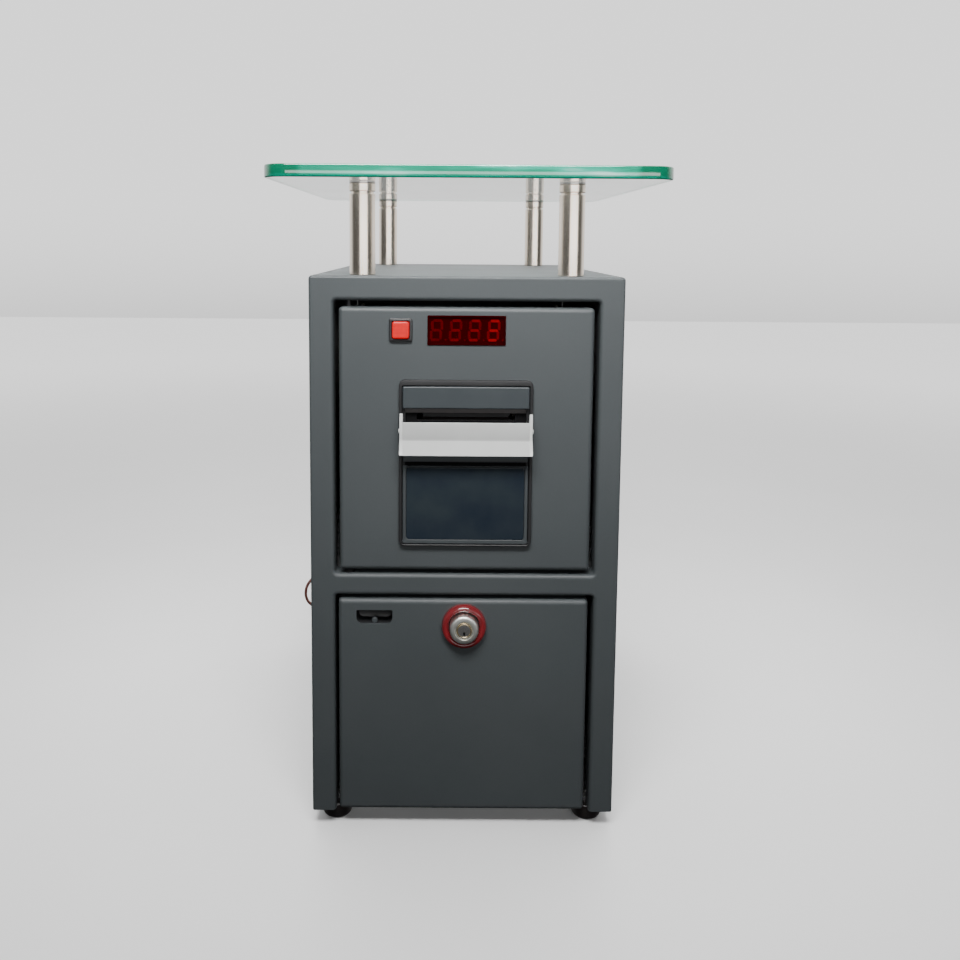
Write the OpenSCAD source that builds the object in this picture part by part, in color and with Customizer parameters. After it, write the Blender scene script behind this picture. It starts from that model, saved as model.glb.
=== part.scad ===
// Counter-top ticket machine: sheet-steel cabinet with a hinged upper front that carries the
// ticket printer, display and push button, a lockable drawer below it, and a glass shelf on
// four round posts. Millimetres. +Z is up, the front faces -Y, the origin is on the ground
// under the centre of the body's bounding box.

/* [Cabinet] */
// Outside width of the cabinet
cab_w = 204; // [190:1:260]
// Outside depth of the cabinet
cab_d = 320; // [300:1:400]
// Height of the cabinet without its feet
cab_h = 364; // [350:1:450]
// Thickness of the sheet steel
sheet = 1.5; // [1:0.1:2]
// Width of the front columns at the left and right
column_w = 16; // [14:0.5:24]
// Height of the front rail over the upper panel
top_rail_h = 16; // [12:0.5:24]
// Height of the upper front opening
upper_open_h = 181.5; // [170:0.5:200]
// Height of the rail between the two openings
mid_rail_h = 14.5; // [12:0.5:24]
// Depth of the folded edges behind every front face
fold_d = 14; // [12:0.5:18]
// Outside radius of the folded edges
bend_r = 3; // [2:0.5:4]

/* [Glass shelf] */
// Width of the glass
glass_w = 251; // [220:1:300]
// How far the glass reaches ahead of the cabinet's front
glass_front = 34; // [10:1:50]
// Distance from the glass's rear edge to the cabinet's back
glass_back = 27; // [10:1:50]
// Thickness of the glass
glass_t = 8; // [6:0.5:12]
// Plan radius of the glass corners
glass_r = 16; // [5:1:30]
// Diameter of the posts
post_d = 17; // [14:0.5:24]
// Height of the posts with their collars and bonding discs
post_h = 60; // [45:1:90]
// Distance from a post's axis to the cabinet's side
post_side = 33.5; // [20:0.5:45]
// Distance from a front post's axis to the cabinet's front
post_front = 16.6; // [12:0.2:40]
// Distance from a rear post's axis to the cabinet's back
post_back = 37; // [15:1:60]

/* [Feet] */
// Diameter of the rubber feet
foot_d = 20; // [16:1:26]
// Height of the rubber feet
foot_h = 12; // [6:0.5:14]
// Distance from a foot's axis to the cabinet's side
foot_side = 15; // [12:0.5:20]
// Distance of the rear feet's centres from the cabinet's rear
foot_end = 20; // [18:1:30]
// Distance of the front feet's centres behind the folded front edge
foot_front = 4; // [4:0.5:14]

/* [Fronts] */
// Gap beside the upper panel
panel_gap = 3.3; // [2.5:0.1:4]
// Gap over the upper panel
panel_gap_top = 4; // [2:0.1:5]
// Gap under the upper panel
panel_gap_low = 2.8; // [2:0.1:4]
// Distance from the upper panel's left edge to its pivot
pivot_in = 6; // [5:0.5:8]
// Diameter of the upper panel's pivot pins
pivot_d = 4; // [3:0.5:5]
// Gap at the left of the drawer front
drawer_gap_left = 2.2; // [2:0.1:4]
// Gap at the right of the drawer front
drawer_gap_right = 3.4; // [2:0.1:4]
// Gap over the drawer front
drawer_gap_top = 2.7; // [2:0.1:4]
// Depth of the drawer's tray
tray_d = 282; // [240:1:282]
// Width of the drawer's tray
tray_w = 148; // [120:1:150]
// Height of the drawer's tray
tray_h = 98; // [60:1:110]
// Sheet thickness of the drawer's tray
tray_t = 1.2; // [1:0.1:1.5]
// Height of the slide bars
slide_h = 12; // [8:1:20]

/* [Display and button] */
// Width of the four-digit display
display_w = 50.3; // [40:0.1:60]
// Height of the four-digit display
display_h = 19; // [14:0.5:24]
// Distance from the cabinet's top to the display's centre
display_drop = 34.9; // [30:0.1:40]
// Height of one digit
digit_h = 14.2; // [10:0.1:16]
// Side of the square button bezel
button_w = 15; // [12:0.5:20]
// Distance from the centre line to the button
button_x = 42.5; // [36:0.5:50]
// Travel of the button cap
button_travel = 2.5; // [1:0.1:3]

/* [Ticket printer] */
// Width of the printer's front bezel
bezel_w = 87; // [80:0.5:100]
// Height of the printer's front bezel
bezel_h = 110.5; // [105:0.5:120]
// Distance from the cabinet's top to the bezel's upper edge
bezel_drop = 66.9; // [60:0.1:70]
// How far the bezel stands proud of the panel
bezel_proud = 3.2; // [3:0.1:5]
// Plan radius of the bezel's corners
bezel_r = 4; // [2:0.5:8]
// Depth of the printer behind the panel
printer_d = 68; // [64:1:90]
// Width of the ticket mouth
mouth_w = 64; // [56:1:70]
// Width of the flap under the ticket mouth
flap_w = 85.5; // [80:0.1:86]
// Diameter of the paper roll
roll_d = 42; // [30:1:44]
// Gear module of the paper feed
gear_m = 0.6; // [0.5:0.05:0.7]

/* [Lock] */
// Diameter of the red ring around the lock
ring_d = 30; // [26:0.5:36]
// Diameter of the lock's front face
lock_d = 19; // [16:0.5:22]
// Distance from the cabinet's top to the lock's axis
lock_drop = 232.5; // [230:0.5:240]
// Diameter of the key plug
plug_d = 10; // [8:0.5:12]
// Length of the locking cam from the lock's axis
cam_len = 29; // [25:1:32]
// Width of the finger pull
pull_w = 24; // [20:0.5:40]
// Height of the finger pull
pull_h = 9.5; // [8:0.5:20]

/* [Power lead] */
// Diameter of the lead
lead_d = 3; // [2.5:0.1:4]
// Number of turns in the coil's outer layer and height
coil_rows = 4; // [3:1:5]

/* [Hidden] */
$fn = 48;
seam = 0.3;             // gap between pieces that move past each other
fit = 0.05;             // radial running clearance
snug = 0.02;            // radial clearance of a pin that stays put

depth_all = glass_front + cab_d;
front_y = glass_front - depth_all / 2;
back_y = front_y + cab_d;
base_z = foot_h;
top_z = base_z + cab_h;
glass_z = top_z + post_h;
open_w = cab_w - 2 * column_w;
upper_top = top_z - top_rail_h;
rail_top = upper_top - upper_open_h;
rail_low = rail_top - mid_rail_h;
in_w = cab_w - 2 * sheet;
back_in = 4;                                    // how far the back panel is let in
panel_y = back_y - back_in;                     // rear face of the back panel

// upper panel
panel_x0 = -open_w / 2 + panel_gap;
panel_x1 = open_w / 2 - panel_gap;
panel_z0 = rail_top + panel_gap_low;
panel_z1 = upper_top - panel_gap_top;
pivot_x = panel_x0 + pivot_in;
pivot_y = front_y + pivot_in;

// drawer
drawer_x0 = -open_w / 2 + drawer_gap_left;
drawer_x1 = open_w / 2 - drawer_gap_right;
drawer_z0 = base_z + 0.8;
drawer_z1 = rail_low - drawer_gap_top;
tray_y = front_y + sheet;
tray_z = base_z + 16;
slide_z = tray_z + 16;                          // lower edge of the slide bars
slide_t = 6.5;
runner_gap = 1.5;
runner_x = tray_w / 2 + slide_t + runner_gap;   // inner face of a runner's web
runner_y0 = front_y + fold_d + 2;
runner_y1 = tray_y + tray_d;
stop_l = 4;
peg_back = 56;                                  // stop pegs ahead of the bars' rear ends

// lock and finger pull
lock_z = top_z - lock_drop;
lock_face = front_y - 9;
lock_back = front_y + 20;
cam_t = 2;
pull_x = -59.7;
pull_z = top_z - 227;
pull_depth = 11;

// display and button
display_z = top_z - display_drop;
display_y = front_y - 0.8;
display_t = 8;
board_t = 1.6;
button_z = top_z - 34.7;
cap_w = 10.8;
button_lip = 2;                                 // bezel in front of the panel
button_well = 13;                               // depth of the well behind the panel's face

// printer
bezel_y = front_y - bezel_proud;
bezel_z1 = top_z - bezel_drop;
bezel_z0 = bezel_z1 - bezel_h;
rim = 2.2;                                      // bezel's rim beside the paper door
rim_low = 1.5;
rim_top = 3.9;
lip = 1.8;                                      // rabbet that the paper door closes on
lip_y = front_y - 0.6;
win_w = bezel_w - 2 * rim;
win_z0 = bezel_z0 + rim_low;
win_z1 = bezel_z1 - rim_top;
well_w = win_w - 2 * lip;
well_z0 = win_z0 + 2.1;
well_z1 = win_z1 - 0.5;
shell_t = 1.5;
mouth_z0 = bezel_z1 - 26.7;
mouth_z1 = bezel_z1 - 23.1;
bar_z0 = bezel_z1 - 18.7;                       // lower edge of the cover bar
plate_y = bezel_y + 5;                          // recessed plate with the ticket mouth
plate_t = 1.5;
band_z0 = bezel_z1 - 54;                        // lower edge of the cover
band_z1 = band_z0 + 6.2;
door_z1 = band_z0 - 2.4;                        // upper edge of the paper door
door_t = 2.4;
hinge_r = door_t / 2;
hinge_y = bezel_y + 0.1 + hinge_r;
hinge_z = win_z0 + 0.4 + hinge_r;
stub_r = 0.8;

// flap
flap_y = bezel_y - 6;
flap_t = 1.5;
flap_pin_y = bezel_y - 2.6;
flap_pin_z = bezel_z1 - 32.8;
flap_pin_r = 0.9;
flap_top = mouth_z0;
flap_bend = bezel_z1 - 38.1;
flap_low = bezel_z1 - 47.4;
arm_top = bezel_z1 - 20.9;
arm_t = 2.1;
ear_r = 1.6;
ear_t = 2;

// paper feed
platen_r = 5;
platen_y = front_y + 10;
platen_z = mouth_z0 - 3.9;
platen_n = 18;
idler_n = 32;
motor_n = 14;
idler_dir = 10;                                 // from the platen's axis to the idler's
motor_dir = 5;                                  // from the idler's axis to the motor's
idler_y = platen_y + gear_m * (platen_n + idler_n) / 2 * cos(idler_dir);
idler_z = platen_z + gear_m * (platen_n + idler_n) / 2 * sin(idler_dir);
motor_y = idler_y + gear_m * (idler_n + motor_n) / 2 * cos(motor_dir);
motor_z = idler_z + gear_m * (idler_n + motor_n) / 2 * sin(motor_dir);
gear_x = well_w / 2 - 6.5;                      // left face of the gears
gear_t = 4;
motor_wall_x = gear_x - 4.5;                    // left face of the motor's wall
motor_l = 18;
motor_r = 9.5;
head_z = platen_z + platen_r + 0.3;
head_h = 5;
beam_z = head_z + head_h + 9;
roll_y = front_y + 8 + roll_d / 2;
roll_z = well_z0 + 4.5 + roll_d / 2;
roll_w = 57;
core_r = 6;

// power lead: exit, gland and the route's points behind the cabinet
gland_x = -78;
gland_z = 62;
gland_r = 5;
gland_end = back_y + 16;
lead_route = [[-78, 193, 62], [-78, 199, 62], [-80, 206, 62], [-86, 212, 61.5],
              [-96, 214, 61], [-108, 212, 60], [-121, 207, 59], [-134, 201, 56.5],
              [-146, 196, 52], [-154, 193, 45], [-157, 192.5, 36], [-156, 194, 27],
              [-151, 198, 19], [-143, 204, 12], [-133, 209, 7], [-121, 213.5, 3.6],
              [-109, 216.5, 2], [-97, 218, 1.6], [-85, 218.5, 1.6], [-73, 218.5, 1.6]];
coil_x = -62;
coil_y = 238;
coil_mean = 16.5;                               // radius at the middle of the turns
coil_cols = 3;

// ---------- shared shapes ----------

// box given by its lowest and highest corners
module block(a, b) {
    translate(a) cube([b[0] - a[0], b[1] - a[1], b[2] - a[2]]);
}

// rounded rectangle about the origin, built from exact arcs
module round_rect(w, h, r) {
    square([w - 2 * r, h], center = true);
    square([w, h - 2 * r], center = true);
    for (x = [-1, 1], y = [-1, 1]) translate([x * (w / 2 - r), y * (h / 2 - r)]) circle(r);
}

// cylinder along +Y that starts at y0 and ends at y1
module rod_y(r, x, z, y0, y1) {
    translate([x, y0, z]) rotate([-90, 0, 0]) cylinder(r = r, h = y1 - y0);
}

// cylinder along +X that starts at x0 and ends at x1
module rod_x(r, y, z, x0, x1) {
    translate([x0, y, z]) rotate([0, 90, 0]) cylinder(r = r, h = x1 - x0);
}

// cylinder along +Z
module rod_z(r, x, y, z0, z1) {
    translate([x, y, z0]) cylinder(r = r, h = z1 - z0);
}

// plate in the XZ plane from y0 to y1, centred at x, z, with rounded corners
module plate_y_round(w, h, r, x, z, y0, y1) {
    translate([x, y1, z]) rotate([90, 0, 0]) linear_extrude(y1 - y0) round_rect(w, h, r);
}

// block whose front edges are rounded on all four sides
module pan_block(x0, x1, z0, z1, y0, y1, r) {
    intersection() {
        translate([0, 0, z0]) linear_extrude(z1 - z0) front_profile(x0, x1, y0, y1, r);
        translate([x0, 0, 0]) rotate([90, 0, 90]) linear_extrude(x1 - x0)
            side_profile(z0, z1, y0, y1, r);
    }
}

// plan outline of a pan: corners rounded towards -Y
module front_profile(x0, x1, y0, y1, r) {
    translate([x0 + r, y0]) square([x1 - x0 - 2 * r, r]);
    translate([x0, y0 + r]) square([x1 - x0, y1 - y0 - r]);
    for (x = [x0 + r, x1 - r]) translate([x, y0 + r]) circle(r);
}

// side outline of a pan, drawn with y across and z up
module side_profile(z0, z1, y0, y1, r) {
    translate([y0, z0 + r]) square([r, z1 - z0 - 2 * r]);
    translate([y0 + r, z0]) square([y1 - y0 - r, z1 - z0]);
    for (z = [z0 + r, z1 - r]) translate([y0 + r, z]) circle(r);
}

// folded sheet pan, open at the rear
module pan(x0, x1, z0, z1) {
    r = max(bend_r, sheet + 0.3);
    difference() {
        pan_block(x0, x1, z0, z1, front_y, front_y + fold_d, r);
        pan_block(x0 + sheet, x1 - sheet, z0 + sheet, z1 - sheet, front_y + sheet,
                  front_y + fold_d + 1, r - sheet);
    }
}

// pan-head screw along an axis turned by rot: the head's underside is at the origin
module screw(shank_r, shank_l, head_r, head_h) {
    translate([0, 0, -shank_l]) cylinder(r = shank_r, h = shank_l);
    difference() {
        cylinder(r = head_r, h = head_h);
        translate([-head_r * 0.65, -0.3, head_h - 0.6]) cube([head_r * 1.3, 0.6, 1]);
        translate([-0.3, -head_r * 0.65, head_h - 0.6]) cube([0.6, head_r * 1.3, 1]);
    }
}

// tube swept along points, as rings of a polygon with the given number of sides
function unit(v) = v / norm(v);
function heading(p, i) = unit(p[min(i + 1, len(p) - 1)] - p[max(i - 1, 0)]);
function ring_point(c, t, up, r, a) =
    let (u = unit(cross(t, up)), v = cross(u, t)) c + r * (cos(a) * u + sin(a) * v);
module tube(p, r, sides, up) {
    n = len(p);
    points = [for (i = [0:n - 1], k = [0:sides - 1])
              ring_point(p[i], heading(p, i), up, r, k * 360 / sides)];
    walls = [for (i = [0:n - 2], k = [0:sides - 1])
             [i * sides + k, i * sides + (k + 1) % sides,
              (i + 1) * sides + (k + 1) % sides, (i + 1) * sides + k]];
    near_cap = [for (k = [sides - 1:-1:0]) k];
    far_cap = [for (k = [0:sides - 1]) (n - 1) * sides + k];
    polyhedron(points, concat([near_cap], walls, [far_cap]));
}

// points of a smooth curve through the route, a few per stretch
function spline(a, b, c, d, t) =
    0.5 * (2 * b + (c - a) * t + (2 * a - 5 * b + 4 * c - d) * t * t
           + (3 * b - a - 3 * c + d) * t * t * t);
function smooth(p, steps) = concat(
    [for (i = [0:len(p) - 2], s = [0:steps - 1])
     spline(p[max(i - 1, 0)], p[i], p[i + 1], p[min(i + 2, len(p) - 1)], s / steps)],
    [p[len(p) - 1]]);

// coil spring along +Z with flat-lying end turns
module spring(r, wire, length, turns) {
    steps = 10;
    path = [for (i = [0:turns * steps])
            let (a = i * 360 / steps)
            [r * cos(a), r * sin(a), wire + (length - 2 * wire) * i / (turns * steps)]];
    tube(path, wire, 6, [0, 0, 1]);
}

// ---------- gears ----------

gear_slack = 0.12;      // share of a tooth given up as backlash
function inv(a) = tan(a) * 180 / PI - a;
function tooth_half(n, rho, r, rb) =
    90 / n * (1 - gear_slack) + inv(20) - inv(acos(min(1, rb / max(rho, rb))));
module gear_outline(n, m) {
    r = n * m / 2;
    rb = r * cos(20);
    tip = r + 0.8 * m;
    root = r - 1.1 * m;
    low = max(rb, root);
    circle(root + 0.01);
    for (i = [0:n - 1]) rotate(i * 360 / n)
        polygon(concat(
            [[root * cos(120 / n), -root * sin(120 / n)]],
            [for (k = [0:4]) let (q = low + (tip - low) * k / 4, h = tooth_half(n, q, r, rb))
             [q * cos(h), -q * sin(h)]],
            [for (k = [4:-1:0]) let (q = low + (tip - low) * k / 4, h = tooth_half(n, q, r, rb))
             [q * cos(h), q * sin(h)]],
            [[root * cos(120 / n), root * sin(120 / n)], [0, 0]]));
}

// turn of a gear with m teeth that meshes with a gear of n teeth turned by phase
function meshed(phase, dir, n, m) = dir + 180 + (dir - phase) * n / m + 180 / m;
idler_phase = meshed(idler_dir, idler_dir, platen_n, idler_n);
motor_phase = meshed(idler_phase, motor_dir, idler_n, motor_n);

// gear about the X axis, its angle measured from +Y towards +Z
module gear_x_axis(n, m, phase, y, z, x0, x1) {
    translate([x0, y, z]) rotate([90, 0, 90]) linear_extrude(x1 - x0) rotate(phase)
        gear_outline(n, m);
}

// ---------- cabinet ----------

module cabinet_shell() {
    r = sheet + 0.5;
    color("dimgray") difference() {
        union() {
            difference() {
                pan_block(-cab_w / 2, cab_w / 2, base_z - 10, top_z, front_y, back_y, r);
                block([-in_w / 2, front_y + sheet, base_z - 20],
                      [in_w / 2, back_y + 1, top_z - sheet]);
                block([-cab_w, front_y - 1, base_z - 20], [cab_w, back_y + 1, base_z]);
                block([-open_w / 2, front_y - 1, base_z - 1],
                      [open_w / 2, front_y + sheet + 1, upper_top]);
            }
            for (s = [-1, 1])
                block([min(s * open_w / 2, s * (open_w / 2 + sheet)), front_y + sheet / 2, base_z],
                      [max(s * open_w / 2, s * (open_w / 2 + sheet)), front_y + fold_d,
                       upper_top + sheet]);
            block([-open_w / 2 - sheet, front_y + sheet / 2, upper_top],
                  [open_w / 2 + sheet, front_y + fold_d, upper_top + sheet]);
            // rear edge folded in at the sides and top, where the back panel is screwed
            block([-in_w / 2, panel_y - 2 * sheet, top_z - sheet - 12],
                  [in_w / 2, panel_y - sheet, top_z - sheet / 2]);
            for (s = [-1, 1])
                block([min(s * (in_w / 2 - 12), s * (in_w / 2 + sheet / 2)), panel_y - 2 * sheet,
                       base_z],
                      [max(s * (in_w / 2 - 12), s * (in_w / 2 + sheet / 2)), panel_y - sheet,
                       top_z - sheet / 2]);
        }
        rod_z(pivot_d / 2 + snug, pivot_x, pivot_y, upper_top - 1, upper_top + sheet + 1);
        for (s = [-1, 1], y = post_ys) rod_z(3.3, s * post_x, y, top_z - sheet - 1, top_z + 1);
        for (p = back_screw_spots)
            rod_y(1.5 + snug, p[0], p[1], panel_y - 2 * sheet - 1, panel_y + 1);
    }
}

module mid_rail() {
    r = max(bend_r - 1, sheet + 0.3);
    color("dimgray") difference() {
        translate([-open_w / 2, 0, 0]) rotate([90, 0, 90]) linear_extrude(open_w)
            side_profile(rail_low, rail_top, front_y, front_y + fold_d, r);
        translate([-open_w / 2 - 1, 0, 0]) rotate([90, 0, 90]) linear_extrude(open_w + 2)
            side_profile(rail_low + sheet, rail_top - sheet, front_y + sheet,
                         front_y + fold_d + 1, r - sheet);
        rod_z(pivot_d / 2 + snug, pivot_x, pivot_y, rail_top - sheet - 1, rail_top + 1);
    }
}

foot_x = cab_w / 2 - foot_side;
foot_ys = [front_y + fold_d + foot_front, back_y - foot_end];
module bottom_plate() {
    color("gray") difference() {
        union() {
            block([-in_w / 2, front_y + fold_d, base_z],
                  [in_w / 2, panel_y - 2 * sheet, base_z + sheet]);
            // turned-up rear edge that the back panel stands against
            block([-in_w / 2 + 13, panel_y - 2 * sheet, base_z],
                  [in_w / 2 - 13, panel_y - sheet, base_z + 13]);
            block([-in_w / 2 + 13, panel_y - 2 * sheet - 1, base_z],
                  [in_w / 2 - 13, panel_y - 2 * sheet, base_z + sheet]);
        }
        for (s = [-1, 1], y = foot_ys) rod_z(2 + snug, s * foot_x, y, base_z - 1, base_z + 4);
        rod_y(1.5 + snug, 0, back_screw_low, panel_y - 8, panel_y);
    }
}

module inner_shelf() {
    y0 = front_y + fold_d;
    y1 = panel_y - 2 * sheet - 10;
    color("gray") difference() {
        union() {
            block([-in_w / 2, y0, rail_top - sheet], [in_w / 2, y1, rail_top]);
            for (s = [-1, 1])
                block([min(s * in_w / 2, s * (in_w / 2 - sheet)), y0 + 4, rail_top - 12],
                      [max(s * in_w / 2, s * (in_w / 2 - sheet)), y1, rail_top]);
        }
        // cable window at the rear
        block([-60, y1 - 40, rail_top - 5], [-20, y1 - 15, rail_top + 5]);
    }
}

vent_rows = 6;
vent_w = 46;
back_screw_low = base_z + 7;
back_screw_spots = [for (s = [-1, 1], z = [base_z + 40, (base_z + top_z) / 2, top_z - 40])
                    [s * (in_w / 2 - 6), z]];
module back_panel() {
    color("gray") difference() {
        block([-in_w / 2 + 0.3, panel_y - sheet, base_z + 0.3],
              [in_w / 2 - 0.3, panel_y, top_z - sheet - 0.3]);
        for (p = back_screw_spots) rod_y(1.5 + snug, p[0], p[1], panel_y - 5, panel_y + 1);
        rod_y(1.5 + snug, 0, back_screw_low, panel_y - 5, panel_y + 1);
        rod_y(gland_r + snug, gland_x, gland_z, panel_y - 5, panel_y + 1);
        for (s = [-1, 1], i = [0:vent_rows - 1])
            translate([s * 38, panel_y + 1, top_z - 70 - 9 * i]) rotate([90, 0, 0])
                linear_extrude(sheet + 2) round_rect(vent_w, 3.4, 1.6);
    }
}

module back_screws() {
    color("silver") {
        for (p = back_screw_spots)
            translate([p[0], panel_y, p[1]]) rotate([-90, 0, 0]) screw(1.5, 7, 2.8, 2);
        translate([0, panel_y, back_screw_low]) rotate([-90, 0, 0]) screw(1.5, 7, 2.8, 2);
    }
}

// domed rubber foot with a recessed underside for its screw
module foot(x, y) {
    r = foot_d / 2;
    dome = 3;
    translate([x, y, 0]) rotate_extrude()
        difference() {
            union() {
                translate([0, dome]) square([r, foot_h - dome]);
                square([r - dome, foot_h]);
                translate([r - dome, dome]) circle(dome);
            }
            translate([-r, -1]) square([r, foot_h + 2]);
            translate([0, -1]) square([4, foot_h - 3]);
            square([2 + snug, foot_h + 1]);
        }
}

module rubber_feet() {
    color([0.09, 0.07, 0.07]) for (s = [-1, 1], y = foot_ys) foot(s * foot_x, y);
}

module foot_screws() {
    color("silver") for (s = [-1, 1], y = foot_ys) {
        translate([s * foot_x, y, foot_h - 4]) mirror([0, 0, 1]) screw(2, 10, 3.6, 2);
        translate([s * foot_x, y, base_z + sheet]) rotate(30) difference() {
            cylinder(r = 3.7, h = 3.2, $fn = 6);
            translate([0, 0, -1]) cylinder(r = 2 + snug, h = 6);
        }
    }
}

// fixed channel of the drawer's runner with its foot on the bottom plate
module runner() {
    x0 = runner_x;
    x1 = tray_w / 2 + 1;
    lo = slide_z - seam;
    hi = slide_z + slide_h + seam;
    block([x0, runner_y0, base_z + sheet], [x0 + sheet, runner_y1, hi + sheet]);
    block([x1, runner_y0, lo - sheet], [x0 + sheet, runner_y1, lo]);
    block([x1, runner_y0, hi], [x0 + sheet, runner_y1, hi + sheet]);
    block([x0 - 9, runner_y0 + 20, base_z + sheet], [x0 + sheet, runner_y1, base_z + 2 * sheet]);
    block([x0 - runner_gap + 0.2, runner_y0, slide_z + slide_h / 2 - 3],
          [x0 + sheet, runner_y0 + stop_l, slide_z + slide_h / 2 + 3]);
}

module runner_left() {
    color("silver") mirror([1, 0, 0]) runner();
}

module runner_right() {
    color("silver") runner();
}

board_w = 110;
board_h = 70;
board_z = top_z - 120;
board_y = panel_y - 2 * sheet - 9;
module control_board() {
    color("darkgreen") difference() {
        block([-board_w / 2, board_y - board_t, board_z - board_h / 2],
              [board_w / 2, board_y, board_z + board_h / 2]);
        for (p = board_spots) rod_y(1.5 + snug, p[0], p[1], board_y - 4, board_y + 1);
    }
}

board_spots = [for (x = [-1, 1], z = [-1, 1])
               [x * (board_w / 2 - 5), board_z + z * (board_h / 2 - 5)]];
module board_standoffs() {
    color("gold") for (p = board_spots) {
        rod_y(3, p[0], p[1], board_y, panel_y - sheet);
        rod_y(1.5, p[0], p[1], board_y - board_t - 0.5, board_y);
        rod_y(2.8, p[0], p[1], board_y - board_t - 2, board_y - board_t);
    }
}

module board_components() {
    y = board_y - board_t;
    color([0.15, 0.15, 0.16]) {
        block([-12, y - 2, board_z - 8], [8, y, board_z + 12]);
        block([-46, y - 11, board_z - 22], [-30, y, board_z + 2]);
        block([20, y - 9, board_z - 30], [44, y, board_z - 20]);
        block([20, y - 9, board_z + 16], [38, y, board_z + 26]);
        for (x = [-22, 16, 28]) rod_y(4, x, board_z - 12, y - 13, y);
        for (x = [-24, -14, -4]) block([x, y - 6, board_z + 20], [x + 7, y, board_z + 27]);
    }
}

module pivot_pins() {
    r = pivot_d / 2;
    color("silver") {
        rod_z(r, pivot_x, pivot_y, panel_z1 - sheet - 1.5, upper_top + sheet + 0.2);
        rod_z(r + 1.5, pivot_x, pivot_y, upper_top + sheet, upper_top + sheet + 1.6);
        rod_z(r, pivot_x, pivot_y, rail_top - sheet - 0.2, panel_z0 + sheet + 1.5);
        rod_z(r + 1.5, pivot_x, pivot_y, rail_top, panel_z0 - seam);
        rod_z(r + 1.5, pivot_x, pivot_y, rail_top - sheet - 1.6, rail_top - sheet);
    }
}

catch_x = open_w / 2 - 26;
catch_y = front_y + fold_d + seam;
module magnet_catch() {
    color([0.75, 0.73, 0.68])
        block([catch_x, catch_y + 1, rail_top], [catch_x + 20, catch_y + 10, rail_top + 13]);
    color("silver") for (z = [rail_top + 5, rail_top + 9])
        block([catch_x + 2, catch_y, z], [catch_x + 18, catch_y + 1, z + 1.5]);
}

// ---------- glass shelf ----------

post_x = cab_w / 2 - post_side;
post_ys = [front_y + post_front, back_y - post_back];
collar_h = 5.4;
groove_h = 1.2;
pad_t = 0.6;
collar_z = glass_z - pad_t - collar_h;
module post(x, y) {
    r = post_d / 2;
    color("silver") translate([x, y, 0]) difference() {
        union() {
            rod_z(r, 0, 0, top_z, collar_z - groove_h);
            rod_z(r - 1.2, 0, 0, collar_z - groove_h, collar_z);
        }
        rod_z(3 + snug, 0, 0, top_z - 1, top_z + 16);
        rod_z(4 + snug, 0, 0, collar_z - 12, collar_z + 1);
    }
}

module post_front_left() {
    post(-post_x, post_ys[0]);
}

module post_front_right() {
    post(post_x, post_ys[0]);
}

module post_rear_left() {
    post(-post_x, post_ys[1]);
}

module post_rear_right() {
    post(post_x, post_ys[1]);
}

module post_collars() {
    r = post_d / 2;
    color("gainsboro") for (s = [-1, 1], y = post_ys) {
        rod_z(r, s * post_x, y, collar_z, collar_z + collar_h);
        rod_z(4, s * post_x, y, collar_z - 11, collar_z + 1);
    }
}

module post_bolts() {
    color("silver") for (s = [-1, 1], y = post_ys) {
        rod_z(3, s * post_x, y, top_z - sheet - 2, top_z + 14);
        rod_z(6, s * post_x, y, top_z - sheet - 1.6, top_z - sheet);
        translate([s * post_x, y, top_z - sheet - 5.6]) cylinder(r = 5, h = 4, $fn = 6);
    }
}

module glass_pads() {
    color([0.85, 0.9, 0.9]) for (s = [-1, 1], y = post_ys)
        rod_z(post_d / 2, s * post_x, y, glass_z - pad_t, glass_z);
}

module glass_top() {
    glass_d = glass_front + cab_d - glass_back;
    color([0.3, 0.75, 0.6, 0.4])
        translate([0, front_y - glass_front + glass_d / 2, glass_z])
            linear_extrude(glass_t) round_rect(glass_w, glass_d, glass_r);
}

// ---------- power lead ----------

module cable_gland() {
    color([0.1, 0.1, 0.1]) difference() {
        union() {
            rod_y(gland_r, gland_x, gland_z, panel_y - sheet - 6, panel_y + 2);
            rod_y(gland_r + 3, gland_x, gland_z, panel_y, panel_y + 3);
            translate([gland_x, panel_y + 3, gland_z]) rotate([-90, 0, 0])
                cylinder(r1 = gland_r + 1, r2 = lead_d / 2 + 0.9, h = gland_end - panel_y - 3);
            translate([gland_x, panel_y - sheet - 4, gland_z]) rotate([-90, 0, 0])
                cylinder(r = gland_r + 3, h = 4, $fn = 6);
        }
        rod_y(lead_d / 2 + snug, gland_x, gland_z, panel_y - 20, gland_end + 1);
    }
}

module power_lead() {
    color([0.42, 0.2, 0.18]) tube(smooth(lead_route, 3), lead_d / 2, 8, [0.13, 0.09, 1]);
}

coil_w = coil_cols * lead_d;
plug_r = 4.6;
plug_x = coil_x - 22;           // where the lead enters the plug
plug_y = coil_y + coil_mean + coil_w / 2 + plug_r + 0.3;
plug_z = 5;
coil_end_y = coil_y + coil_mean + coil_w / 2 - lead_d / 2;
coil_end_z = (coil_rows - 0.5) * lead_d + 0.1;
// from the coil's last turn down to the plug beside it
tail_route = [[coil_x, coil_end_y, coil_end_z], [coil_x - 4, coil_end_y, coil_end_z],
              [coil_x - 8, coil_end_y + 1.2, coil_end_z - 1.1],
              [coil_x - 12, coil_end_y + 3.6, coil_end_z - 3.2],
              [coil_x - 16, plug_y - 0.6, plug_z + 0.5], [plug_x + 3, plug_y, plug_z],
              [plug_x + 0.05, plug_y, plug_z]];
module lead_coil() {
    color([0.42, 0.2, 0.18]) {
        translate([coil_x, coil_y, 0]) rotate_extrude()
            translate([coil_mean - coil_w / 2, 0]) square([coil_w, coil_rows * lead_d]);
        tube(smooth(tail_route, 2), lead_d / 2, 8, [0.13, 0.09, 1]);
    }
}

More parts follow.
